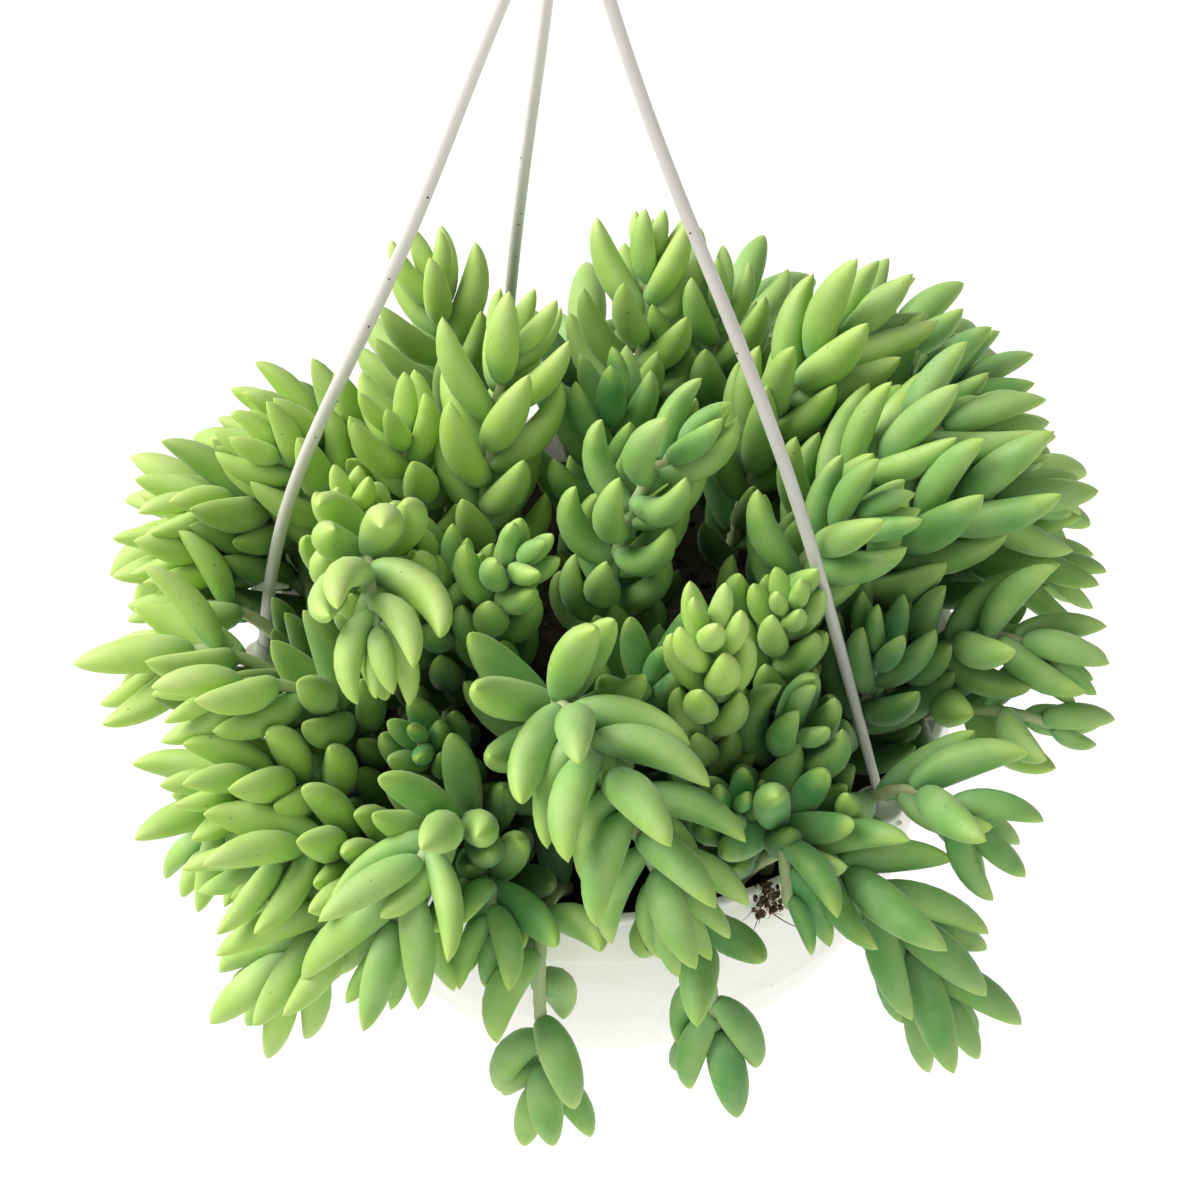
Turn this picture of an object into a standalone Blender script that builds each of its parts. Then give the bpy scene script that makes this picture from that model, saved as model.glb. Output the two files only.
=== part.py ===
"""A hanging pot of burro's tail: a bowl with a deep collar, soil, trailing shoots and a three-arm hanger.

Everything is in metres, +Z up. The origin is the point under the top of the hook where the load rests.
Each shoot is one stem with its leaves, drawn here as one tapering body with a ripple for every whorl.
"""

import math

import bmesh
import bpy
from mathutils import Matrix, Vector

MM = 0.001
GAP = 0.3 * MM              # left between pieces that rest on each other
WELD = 0.001 * MM
SMOOTH_ANGLE = 35.0

RIM_DROP = 0.300            # from the origin down to the rim's plane
JOIN_ABOVE_RIM = 0.222      # where the three arms meet, above the rim

RIM_RADIUS = 83.5 * MM
LIP_ROUND = 1.2 * MM        # chamfer round the lip's outer edge
COLLAR_HEIGHT = 17.0 * MM
COLLAR_TAPER = 1.0 * MM     # the collar's lower edge stands this much further in
COLLAR_FILLET = 4.0 * MM    # height over which the collar's under side meets the bowl
BOWL_RADIUS = 78.0 * MM
BOWL_STEPS = 9
BOWL_FULLNESS = 0.72        # below 1 keeps the bowl wide for longer on its way down
BOWL_DROP = 1.25
POT_HEIGHT = 91.0 * MM
FOOT_RADIUS = 35.0 * MM
FOOT_RING = 3.0 * MM
FOOT_RISE = 2.5 * MM        # the floor's under side above the foot ring
BOWL_LOW = 4.0 * MM         # the bowl's curve ends this far above the foot ring
WALL = 2.0 * MM
DRAIN_RADIUS = 3.0 * MM
DRAIN_COUNT = 6
DRAIN_CIRCLE = 20.0 * MM
TURN_STEPS = 36

SOIL_DEPTH = 10.0 * MM      # soil's top below the rim

EAR_RADIUS = 6.0 * MM
EAR_THICK = 2.6 * MM
EAR_RISE = 0.4 * MM         # the ears' top above the rim's plane
EAR_CENTRE = 80.5 * MM
EAR_AZIMUTHS = {"left": 178.0, "right": -41.5, "back": 107.0}
HOLE_RADIUS = 2.4 * MM
HOLE_CENTRE = 81.4 * MM

ARM_RADIUS = 1.5 * MM
# How far each arm bulges outward, as the sizes of its first three half waves from hub to foot.
ARM_BOWS = {"left": (5.3, -2.8, 1.3), "right": (3.5, -2.5, -1.0), "back": (1.8, -0.7, -0.4)}
ARM_POINTS = 13
ARM_TOP_RADIUS = 3.4 * MM   # the arms' upper ends stand this far from the axis
ARM_TOP_DROP = 0.8 * MM     # and this far under the hub
ARM_FOOT_RISE = 0.5 * MM    # under side of the foot's disc above the ear
FOOT_DISC_RADIUS = 5.4 * MM
FOOT_DISC_TOP = 4.4 * MM
FOOT_DISC_THICK = 1.8 * MM
PEG_LENGTH = 6.5 * MM
PEG_BARB = 0.5 * MM         # the peg's end swells by this, then shrinks by as much
PEG_BARB_LENGTH = 2.0 * MM
BARBED_ARM = "left"         # one arm keeps the moulded barb and stub of its mould's gate
BARB_RISE = 27.0 * MM
BARB_LENGTH = 4.6 * MM
BARB_WIDTH = 4.0 * MM
BARB_POINT = 0.3 * MM
STUB_WIDTH = 2.6 * MM

HOOK_ROD = 2.0 * MM
HOOK_INNER = 10.0 * MM
HOOK_START = -38.0          # the bend runs from here, anticlockwise, in degrees
HOOK_SWEEP = 238.0
HOOK_BEND_POINTS = 15
HOOK_STRAIGHT = 24.0 * MM
HOOK_LEAN = (1.0 * MM, 30.0 * MM)
HUB_RADIUS = 5.5 * MM
HUB_TOP_RADIUS = 3.0 * MM
HUB_HEIGHT = 9.0 * MM

STEM_RADIUS = 2.0 * MM
STEM_UPRIGHT = 3.0 * MM     # a shoot leaves the soil straight up for this far
SHOOT_END_RADIUS = 1.5 * MM
SHOOT_POINTS = 9
SHOOT_CROWDING = 0.9        # below 1 puts more of the points towards the tip
SWELL_START = 0.12          # where the leafy part's swelling starts and how far round it goes, in half turns
SWELL_REACH = 0.80
SWELL_RUSH = 0.8
SWELL_BLUNT = 0.6
RIPPLE = 0.13

# name, root (x, y), crest (x, y, z), tip (x, y, z), share of the stem that is bare, half width of the leafy part.
# In millimetres from the centre of the rim. Each shoot springs from the soil, passes its crest half way along
# and ends at its tip.
SHOOTS = (
    ("back_1", (-26, 40), (-34, 56, 42), (-38, 73, 73), 0.35, 7.0),
    ("back_2", (6, 42), (12, 52, 46), (19, 78, 70), 0.35, 7.5),
    ("back_3", (30, 40), (30, 55, 45), (34, 70, 64), 0.35, 7.0),
    ("back_4", (-44, 34), (-68, 48, 20), (-92, 60, -10), 0.35, 7.0),
    ("back_5", (-32, 58), (-42, 84, 14), (-48, 104, -20), 0.35, 7.0),
    ("back_6", (-2, 62), (-2, 90, 14), (0, 110, -24), 0.35, 7.0),
    ("back_7", (26, 60), (36, 86, 26), (46, 108, -8), 0.35, 7.0),
    ("back_8", (48, 42), (68, 62, 34), (94, 80, 6), 0.35, 7.0),
    ("middle_1", (-26, -8), (-25, 4, 58), (-10, 28, 92), 0.40, 7.5),
    ("middle_2", (2, 6), (4, 8, 46), (5, 20, 78), 0.40, 6.5),
    ("middle_3", (0, -22), (6, -22, 64), (31, -15, 86), 0.40, 7.5),
    ("middle_4", (-18, -34), (-24, -39, 55), (-9, -46, 80), 0.50, 6.0),
    ("middle_5", (-38, -22), (-35, -28, 46), (-32, -24, 68), 0.45, 5.5),
    ("middle_6", (4, -42), (8, -54, 42), (6, -64, 60), 0.45, 6.0),
    ("right_1", (28, 18), (45, 24, 56), (76, 41, 67), 0.35, 8.0),
    ("right_2", (44, 16), (66, 20, 47), (100, 36, 44), 0.35, 8.0),
    ("right_3", (36, -4), (60, -4, 58), (100, 10, 53), 0.35, 8.0),
    ("right_4", (50, -14), (71, -16, 50), (107, -2, 43), 0.35, 8.0),
    ("right_5", (24, -34), (44, -33, 58), (72, -29, 70), 0.40, 7.0),
    ("right_6", (54, -30), (81, -32, 31), (111, -41, 21), 0.40, 7.0),
    ("right_7", (62, 2), (84, 0, 26), (116, -8, 16), 0.40, 7.0),
    ("right_8", (62, -20), (86, -42, 18), (111, -46, 8), 0.45, 5.5),
    ("right_9", (34, -46), (38, -47, 46), (45, -46, 70), 0.50, 6.0),
    ("right_10", (60, 22), (86, 36, 20), (114, 40, -16), 0.35, 7.0),
    ("front_1", (14, -54), (22, -65, 47), (21, -63, 85), 0.50, 6.5),
    ("front_2", (46, -41), (60, -42, 30), (63, -37, 52), 0.45, 6.0),
    ("front_3", (42, -60), (65, -73, 27), (86, -81, 5), 0.45, 7.5),
    ("front_4", (26, -66), (49, -87, 19), (76, -97, -33), 0.40, 8.5),
    ("front_5", (25, -54), (40, -66, 38), (50, -71, 49), 0.45, 5.5),
    ("front_6", (34, -62), (36, -83, 28), (37, -103, 6), 0.45, 6.0),
    ("front_7", (-6, -56), (-10, -75, 63), (17, -114, 20), 0.30, 8.5),
    ("front_8", (-12, -64), (-18, -98, 9), (-18, -106, -48), 0.40, 5.5),
    ("front_9", (10, -66), (18, -101, 9), (20, -107, -34), 0.45, 5.5),
    ("front_10", (-26, -58), (-38, -88, 38), (-56, -104, 0), 0.40, 7.5),
    ("front_11", (-28, -64), (-28, -89, 19), (-29, -102, 2), 0.45, 5.5),
    ("front_12", (20, -62), (26, -78, 26), (24, -84, 44), 0.50, 5.5),
    ("front_13", (-34, -50), (-40, -62, 36), (-48, -72, 44), 0.50, 5.5),
    ("left_1", (-44, -50), (-66, -77, 24), (-90, -81, 12), 0.40, 6.5),
    ("left_2", (-36, -58), (-59, -87, 16), (-83, -87, -23), 0.40, 7.0),
    ("left_3", (-44, -36), (-70, -49, 45), (-98, -56, 42), 0.35, 8.0),
    ("left_4", (-54, -42), (-75, -62, 29), (-97, -69, 25), 0.40, 6.5),
    ("left_5", (-60, -33), (-84, -52, 14), (-96, -61, -11), 0.45, 6.5),
    ("left_6", (-58, -20), (-87, -23, 30), (-113, -20, 14), 0.40, 6.5),
    ("left_7", (-46, 20), (-76, 19, 33), (-106, 7, 39), 0.40, 7.0),
    ("left_8", (-58, 10), (-82, 14, 23), (-110, 1, 33), 0.40, 6.0),
    ("left_9", (-63, -10), (-85, -3, 23), (-108, -1, 11), 0.45, 6.0),
    ("left_10", (-38, 24), (-60, 24, 47), (-86, 27, 55), 0.40, 7.0),
    ("left_11", (-48, 6), (-64, 12, 44), (-88, 16, 62), 0.40, 5.5),
    ("left_12", (-44, -18), (-51, -31, 67), (-47, -70, 63), 0.35, 8.0),
    ("left_13", (-32, 8), (-42, 8, 54), (-48, 14, 80), 0.45, 6.0),
    ("left_14", (-48, -8), (-54, -15, 55), (-58, -18, 79), 0.45, 5.5),
    ("left_15", (-62, 31), (-91, 38, 16), (-112, 42, -18), 0.40, 7.0),
)


def clear_scene():
    for item in list(bpy.data.objects):
        bpy.data.objects.remove(item, do_unlink=True)


def collection(name):
    made = bpy.data.collections.new(name)
    bpy.context.scene.collection.children.link(made)
    return made


def material(name, colour, roughness, metallic=0.0):
    made = bpy.data.materials.new(name)
    made.use_nodes = True
    shader = made.node_tree.nodes["Principled BSDF"]
    shader.inputs["Base Color"].default_value = (*colour, 1.0)
    shader.inputs["Roughness"].default_value = roughness
    shader.inputs["Metallic"].default_value = metallic
    return made


def mesh_object(name, mesh, group):
    made = bpy.data.objects.new(name, mesh)
    group.objects.link(made)
    return made


def finish(item, paint):
    """Gives the piece its material and smooth round sides."""
    item.data.materials.append(paint)
    item.data.shade_smooth()
    item.data.set_sharp_from_angle(angle=math.radians(SMOOTH_ANGLE))


def turned(name, profile, group):
    """A profile of (radius, height) points turned about +Z."""
    mesh = bpy.data.meshes.new(name)
    mesh.from_pydata([(radius, 0.0, height) for radius, height in profile],
                     [(i, i + 1) for i in range(len(profile) - 1)], [])
    made = mesh_object(name, mesh, group)
    screw = made.modifiers.new("turn", "SCREW")
    screw.axis = "Z"
    screw.steps = TURN_STEPS
    screw.render_steps = TURN_STEPS
    screw.use_merge_vertices = True
    screw.merge_threshold = WELD
    screw.use_smooth_shade = True
    return made


def tube(name, points, radii, group):
    """A capped tube through the points, with its own radius at each of them."""
    curve = bpy.data.curves.new(name, "CURVE")
    curve.dimensions = "3D"
    curve.bevel_depth = 1.0
    curve.bevel_resolution = 2
    curve.use_fill_caps = True
    spline = curve.splines.new("POLY")
    spline.points.add(len(points) - 1)
    for knot, point, radius in zip(spline.points, points, radii):
        knot.co = (*point, 1.0)
        knot.radius = radius
    made = bpy.data.objects.new(name, curve)
    group.objects.link(made)
    return made


def as_mesh(item, group):
    """The same shape as a closed mesh object, with its caps welded."""
    graph = bpy.context.evaluated_depsgraph_get()
    mesh = bpy.data.meshes.new_from_object(item.evaluated_get(graph))
    name, place = item.name, item.matrix_world.copy()
    bpy.data.objects.remove(item, do_unlink=True)
    shape = bmesh.new()
    shape.from_mesh(mesh)
    bmesh.ops.remove_doubles(shape, verts=shape.verts, dist=WELD)
    bmesh.ops.recalc_face_normals(shape, faces=shape.faces)
    shape.to_mesh(mesh)
    shape.free()
    made = mesh_object(name, mesh, group)
    made.matrix_world = place
    return made


def cone(name, group, radius, top_radius, height, place, sides=24):
    """A cone cut off flat, or a cylinder if both radii are equal, about the local Z axis of `place`."""
    shape = bmesh.new()
    bmesh.ops.create_cone(shape, cap_ends=True, segments=sides, radius1=radius, radius2=top_radius, depth=height)
    bmesh.ops.transform(shape, matrix=place, verts=shape.verts)
    mesh = bpy.data.meshes.new(name)
    shape.to_mesh(mesh)
    shape.free()
    return mesh_object(name, mesh, group)


def combine(item, tools, operation):
    """Unites the tools with the item, or cuts them from it."""
    for tool in tools:
        tool.hide_render = True
        tool.display_type = "WIRE"
        change = item.modifiers.new(tool.name, "BOOLEAN")
        change.operation = operation
        change.object = tool


def at(azimuth, radius, height):
    """A place given by its compass angle about the upright axis, its distance from it and its height."""
    angle = math.radians(azimuth)
    return Vector((radius * math.cos(angle), radius * math.sin(angle), height))


def rim(x, y, z):
    """A place given in millimetres from the rim's centre."""
    return Vector((x * MM, y * MM, z * MM - RIM_DROP))


def bowl_side():
    """The bowl's outer side, from under the collar to the foot: a quarter turn, kept wide for most of its drop."""
    top = -RIM_DROP - COLLAR_HEIGHT - COLLAR_TAPER
    low = -RIM_DROP - POT_HEIGHT + BOWL_LOW
    side = []
    for i in range(BOWL_STEPS + 1):
        turn = i / BOWL_STEPS * math.pi / 2.0
        radius = FOOT_RADIUS + (BOWL_RADIUS - FOOT_RADIUS) * math.cos(turn) ** BOWL_FULLNESS
        side.append((radius, top + (low - top) * math.sin(turn) ** BOWL_DROP))
    return side


def pot_outside():
    """From the lip down the collar, the bowl and the foot ring to the middle of the under side."""
    top = -RIM_DROP
    base = top - POT_HEIGHT
    collar = RIM_RADIUS - COLLAR_TAPER
    collar_low = top - COLLAR_HEIGHT
    lip = [(RIM_RADIUS - LIP_ROUND, top), (RIM_RADIUS, top - LIP_ROUND)]
    skirt = [(collar, collar_low), (collar - WALL, collar_low), (BOWL_RADIUS, collar_low + COLLAR_FILLET)]
    ring_inner = FOOT_RADIUS - FOOT_RING
    foot = [(FOOT_RADIUS, base), (ring_inner, base), (ring_inner - COLLAR_TAPER, base + FOOT_RISE)]
    return [*lip, *skirt, *bowl_side(), *foot, (0.0, base + FOOT_RISE)]


def pot_inside():
    """From the middle of the floor out and up the bowl to the lip's inner edge."""
    top = -RIM_DROP
    floor = top - POT_HEIGHT + FOOT_RISE + WALL
    bowl = [(radius - WALL, max(height + WALL / 2.0, floor)) for radius, height in reversed(bowl_side())]
    shoulder = (BOWL_RADIUS - WALL, top - COLLAR_HEIGHT + COLLAR_FILLET)
    lip = [(RIM_RADIUS - LIP_ROUND - WALL, top - LIP_ROUND), (RIM_RADIUS - WALL, top)]
    return [(0.0, floor), *bowl, shoulder, *lip]


def make_pot(group, helpers, paint):
    """The turned bowl with an ear for each arm, the ears' holes and the drain holes."""
    ring = [*pot_outside(), *pot_inside()]
    pot = as_mesh(turned("pot", [*ring, ring[0]], group), group)
    ears = []
    holes = []
    for side, azimuth in EAR_AZIMUTHS.items():
        ear_at = Matrix.Translation(at(azimuth, EAR_CENTRE, EAR_RISE - RIM_DROP - EAR_THICK / 2.0))
        hole_at = Matrix.Translation(at(azimuth, HOLE_CENTRE, -RIM_DROP))
        ears.append(cone(f"ear_{side}", helpers, EAR_RADIUS, EAR_RADIUS, EAR_THICK, ear_at))
        holes.append(cone(f"ear_hole_{side}", helpers, HOLE_RADIUS, HOLE_RADIUS, 5.0 * EAR_THICK, hole_at, 16))
    for i in range(DRAIN_COUNT):
        drain_at = Matrix.Translation(at(i * 360.0 / DRAIN_COUNT, DRAIN_CIRCLE, -RIM_DROP - POT_HEIGHT))
        holes.append(cone(f"drain_{i + 1}", helpers, DRAIN_RADIUS, DRAIN_RADIUS, 10.0 * WALL, drain_at, 12))
    combine(pot, ears, "UNION")
    combine(pot, holes, "DIFFERENCE")
    finish(pot, paint)


def make_soil(group, paint):
    """A level bed that fills the bowl, a hair clear of its wall."""
    top = -RIM_DROP - SOIL_DEPTH
    floor = pot_inside()[0][1] + GAP
    side = [(radius - GAP, max(height, floor)) for radius, height in pot_inside()[1:] if height < top - WALL]
    widest = max(radius for radius, _ in side)
    soil = turned("soil", [(0.0, top), (widest, top), *reversed(side), (0.0, floor)], group)
    soil.data.materials.append(paint)


def arm_path(side, azimuth):
    """From the hub down to the ear: it bulges outward, comes in to its foot, and ends in an upright peg."""
    start = at(azimuth, ARM_TOP_RADIUS, -RIM_DROP + JOIN_ABOVE_RIM - ARM_TOP_DROP)
    end = at(azimuth, HOLE_CENTRE, -RIM_DROP + ARM_FOOT_RISE + FOOT_DISC_THICK)
    out = at(azimuth, 1.0, 0.0)
    points = []
    for i in range(ARM_POINTS):
        share = i / (ARM_POINTS - 1)
        bow = MM * sum(size * math.sin(wave * math.pi * share) for wave, size in enumerate(ARM_BOWS[side], 1))
        points.append(start.lerp(end, share) + out * bow)
    points.append(end - Vector((0.0, 0.0, PEG_LENGTH)))
    return points


def sideways(azimuth, place, reach):
    """Where a cone of this length stands so that it points level, along the azimuth, with its base at the place."""
    turn = Matrix.Rotation(math.radians(azimuth), 4, "Z") @ Matrix.Rotation(math.radians(90.0), 4, "Y")
    return Matrix.Translation(place + at(azimuth, reach / 2.0, 0.0)) @ turn


def make_arm(side, azimuth, group, helpers, paint):
    """A round arm with a disc that rests on the ear and a barbed peg through its hole."""
    points = arm_path(side, azimuth)
    arm = as_mesh(tube(f"hanger_arm_{side}", points, [ARM_RADIUS] * len(points), group), group)
    foot, peg_end = points[-2], points[-1]
    disc_at = Matrix.Translation(foot - Vector((0.0, 0.0, FOOT_DISC_THICK / 2.0)))
    disc = cone(f"foot_disc_{side}", helpers, FOOT_DISC_RADIUS, FOOT_DISC_TOP, FOOT_DISC_THICK, disc_at)
    swell = cone(f"peg_barb_{side}", helpers, ARM_RADIUS + PEG_BARB, ARM_RADIUS - PEG_BARB, PEG_BARB_LENGTH,
                 Matrix.Translation(peg_end), 12)
    joined = [disc, swell]
    if side == BARBED_ARM:
        root = next(point for point in points if point.z < foot.z + BARB_RISE)
        joined.append(cone("barb", helpers, BARB_WIDTH / 2.0, BARB_POINT, BARB_LENGTH,
                           sideways(azimuth, root, BARB_LENGTH), 8))
        joined.append(cone("stub", helpers, STUB_WIDTH / 2.0, STUB_WIDTH / 2.0, BARB_LENGTH,
                           sideways(azimuth + 180.0, root, BARB_LENGTH), 8))
    combine(arm, joined, "UNION")
    finish(arm, paint)


def hook_path():
    """Up from the hub, round the outside of the bend and over its top, to a short upturned end."""
    centre = Vector((0.0, 0.0, -HOOK_INNER))
    radius = HOOK_INNER + HOOK_ROD
    base = -RIM_DROP + JOIN_ABOVE_RIM + HUB_HEIGHT / 2.0
    lean_out, lean_up = HOOK_LEAN
    points = [Vector((0.0, 0.0, base)), Vector((0.0, 0.0, base + HOOK_STRAIGHT)),
              Vector((lean_out, 0.0, base + lean_up))]
    for i in range(HOOK_BEND_POINTS):
        angle = math.radians(HOOK_START + HOOK_SWEEP * i / (HOOK_BEND_POINTS - 1))
        points.append(centre + Vector((radius * math.cos(angle), 0.0, radius * math.sin(angle))))
    return points


def make_hook(group, helpers, paint):
    """The hook with the conical hub that the arms come out of."""
    points = hook_path()
    hook = as_mesh(tube("hanger_hook", points, [HOOK_ROD] * len(points), group), group)
    hub_at = Matrix.Translation((0.0, 0.0, -RIM_DROP + JOIN_ABOVE_RIM + HUB_HEIGHT / 2.0 + GAP))
    hub = cone("hub", helpers, HUB_RADIUS, HUB_TOP_RADIUS, HUB_HEIGHT, hub_at)
    combine(hook, [hub], "UNION")
    finish(hook, paint)


def shoot_path(root, crest, tip, share):
    """A parabola that leaves the root, is at the crest half way, and ends at the tip."""
    pull = 2.0 * crest - 0.5 * (root + tip)
    return root.lerp(pull, share).lerp(pull.lerp(tip, share), share)


def shoot_radius(share, bare, girth, index):
    """Bare stem first, then a leafy part that swells fast, ripples with its whorls and closes at the tip."""
    if share <= bare:
        return STEM_RADIUS
    along = (share - bare) / (1.0 - bare)
    half_turns = min(1.0, SWELL_START + SWELL_REACH * along ** SWELL_RUSH)
    ripple = 1.0 - RIPPLE * (index % 2)
    return max(STEM_RADIUS, girth * math.sin(math.pi * half_turns) ** SWELL_BLUNT * ripple)


def make_shoot(row, group, paint):
    """One shoot as a tapering tube from the soil over its crest to its tip."""
    name, root, crest, tip, bare, girth = row
    start = rim(*root, 0.0) + Vector((0.0, 0.0, GAP - SOIL_DEPTH))
    points = [start, start + Vector((0.0, 0.0, STEM_UPRIGHT))]
    radii = [STEM_RADIUS, STEM_RADIUS]
    for i in range(1, SHOOT_POINTS):
        share = (i / (SHOOT_POINTS - 1)) ** SHOOT_CROWDING
        points.append(shoot_path(start, rim(*crest), rim(*tip), share))
        radii.append(shoot_radius(share, bare, girth * MM, i))
    radii[-1] = SHOOT_END_RADIUS
    shoot = tube(f"shoot_{name}", points, radii, group)
    shoot.data.materials.append(paint)


def main():
    clear_scene()
    parts = collection("burros_tail_hanging_pot")
    helpers = collection("cutters_and_joiners")
    helpers.hide_render = True
    make_pot(parts, helpers, material("white_pot", (0.86, 0.87, 0.84), 0.35))
    make_soil(parts, material("dark_soil", (0.05, 0.032, 0.02), 0.95))
    for side, azimuth in EAR_AZIMUTHS.items():
        make_arm(side, azimuth, parts, helpers, material(f"hanger_white_{side}", (0.78, 0.76, 0.72), 0.4))
    make_hook(parts, helpers, material("hanger_white_hook", (0.78, 0.76, 0.72), 0.4))
    for i, row in enumerate(SHOOTS):
        tint = 0.04 * (i % 3)
        make_shoot(row, parts, material(f"leaf_green_{row[0]}", (0.30 + tint, 0.50 + tint, 0.16 + tint), 0.45))


main()
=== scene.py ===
"""The look of a hanging pot of burro's tail, built round its solids, which are the fixed frame.

The plant is fifty-two shoots. Each is a stem on its own parabola, with plump leaves set round it in a spiral.
The leaves start where a growing shoot would put them. They are then turned aside, a little at a time, away from
their neighbours, the stems, the hanger's arms, the soil and the pot, until they nearly clear them.
"""

import math
import random
from collections import namedtuple

import bmesh
import bpy
import numpy as np
from bpy.props import FloatProperty, FloatVectorProperty, IntProperty, PointerProperty
from bpy.types import Operator, Panel, PropertyGroup
from mathutils import Matrix, Vector, noise
from mathutils.kdtree import KDTree


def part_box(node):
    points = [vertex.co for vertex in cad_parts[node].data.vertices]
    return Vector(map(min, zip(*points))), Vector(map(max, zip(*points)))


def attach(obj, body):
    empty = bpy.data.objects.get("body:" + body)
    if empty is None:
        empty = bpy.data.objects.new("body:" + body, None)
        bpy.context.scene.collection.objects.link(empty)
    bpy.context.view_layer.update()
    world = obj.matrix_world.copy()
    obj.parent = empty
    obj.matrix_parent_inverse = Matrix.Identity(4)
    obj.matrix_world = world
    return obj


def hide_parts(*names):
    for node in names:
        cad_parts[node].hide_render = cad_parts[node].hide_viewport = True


bl_info = {
    "name": "Hanging Burro's Tail",
    "version": (1, 0, 0),
    "blender": (4, 5, 0),
    "location": "View3D > Sidebar > Burro's Tail",
    "description": "A trailing stonecrop with separate leaves in a moulded hanging pot",
    "category": "Add Mesh",
}

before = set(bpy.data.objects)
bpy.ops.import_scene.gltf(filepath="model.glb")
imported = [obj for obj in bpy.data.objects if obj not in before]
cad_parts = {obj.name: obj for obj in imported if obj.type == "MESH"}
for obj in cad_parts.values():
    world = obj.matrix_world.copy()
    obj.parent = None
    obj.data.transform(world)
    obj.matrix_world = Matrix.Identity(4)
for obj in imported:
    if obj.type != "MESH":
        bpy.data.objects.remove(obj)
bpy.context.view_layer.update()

MM = 0.001
SEED = 7
BODY = "root"
SIDES = ("left", "right", "back")

# Sizes that the solids share with the looks.
POT_LOW, POT_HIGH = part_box("pot")
SOIL_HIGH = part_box("soil")[1]
EAR_RISE = 0.4 * MM
RIM_Z = POT_HIGH.z - EAR_RISE
SOIL_Z = SOIL_HIGH.z
SOIL_RADIUS = SOIL_HIGH.x
RIM_RADIUS = 83.5 * MM
WALL = 2.0 * MM
COLLAR_HEIGHT = 17.0 * MM
BOWL_RADIUS = 78.0 * MM
BOWL_FULLNESS = 0.72
BOWL_DROP = 1.25
FOOT_RADIUS = 35.0 * MM
EAR_AZIMUTHS = {"left": 178.0, "right": -41.5, "back": 107.0}
EAR_CENTRE = 80.5 * MM
HOLE_CENTRE = 81.4 * MM
JOIN_Z = RIM_Z + 222.0 * MM
ARM_TOP_RADIUS = 3.4 * MM
ARM_TOP_DROP = 0.8 * MM
ARM_FOOT_TOP = 2.3 * MM
# How far each arm bows outwards, in millimetres, in one, two and three half waves.
ARM_BOWS = {"left": (5.3, -2.8, 1.3), "right": (3.5, -2.5, -1.0), "back": (1.8, -0.7, -0.4)}
# Each arm's radius at the hub, half way and at the foot, in millimetres.
ARM_RADII = {"left": (1.35, 1.60, 1.50), "right": (1.45, 1.60, 1.15), "back": (1.30, 1.50, 1.40)}
HOOK_INNER = 10.0 * MM
HOOK_ROD = 2.0 * MM
HUB_HEIGHT = 9.0 * MM

# Details of the pot and the soil.
POT_SIDES = 160
FOOT_RISE = 2.5 * MM
FLOOR_Z = POT_LOW.z + FOOT_RISE + WALL
# The smooth bowl has a moulded bead at these of its outline's points.
BOWL_BEADS = (10, 22)
BEAD_HEIGHT = 0.5 * MM
SOIL_GAP = 0.35 * MM
CRUMB_COUNT, SPILL_COUNT = 420, 110
SPILL_ROOT_SHARE = 0.35

# Details of the hanger.
SPECKS_ON_ARM = 4
SPECK_SIZE = 0.32 * MM
# How far over its foot the left arm has its two fins. Then, for each, outward or inward, and its reach, height
# and thickness in millimetres.
BARB_HEIGHT = 27.0 * MM
ARM_FINS = ((1.0, 4.6, 4.2, 2.4), (-1.0, 4.4, 3.0, 2.4))
# Heights over the hub at which the hook's stem starts to lean and is over the bend's side.
HOOK_STRAIGHT, HOOK_LEANT = 24.0 * MM, 30.0 * MM
BEND_START, BEND_SWEEP, BEND_STEPS = -38.0, 238.0, 28

# How the leaves of a shoot are set. Lengths in millimetres, angles in degrees.
# The leaves on the last stretch, young long, are younger towards the tip. crowd and least are what is left of
# the spacing and of a leaf's size at the very tip. start is the share of the bare stretch above which the leaves
# begin, and reach is how far the last leaves pass the stem's end.
Habit = namedtuple("Habit", "length width spacing spread curl young crowd least start reach")
HABITS = {
    "shingled": Habit(28.0, 8.9, 3.1, 46.0, 34.0, 13.0, 0.45, 0.52, 0.5, 15.0),
    "full": Habit(26.0, 8.7, 3.1, 58.0, 44.0, 16.0, 0.45, 0.45, 0.5, 13.0),
    "open": Habit(27.0, 9.3, 2.9, 72.0, 54.0, 14.0, 0.45, 0.55, 0.5, 14.0),
    "curled": Habit(26.0, 8.7, 3.1, 74.0, 92.0, 14.0, 0.45, 0.50, 0.5, 11.0),
    "rosette": Habit(18.5, 7.9, 3.0, 44.0, 46.0, 16.0, 0.42, 0.50, 0.5, 9.0),
    "trailing": Habit(23.0, 9.2, 8.0, 74.0, 76.0, 30.0, 0.10, 0.85, 0.35, 19.0),
    "sparse": Habit(23.0, 9.0, 5.0, 66.0, 50.0, 14.0, 0.40, 0.50, 0.8, 12.0),
    "hidden": Habit(24.0, 9.0, 3.0, 54.0, 40.0, 18.0, 0.45, 0.45, 0.1, 11.0),
}

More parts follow.
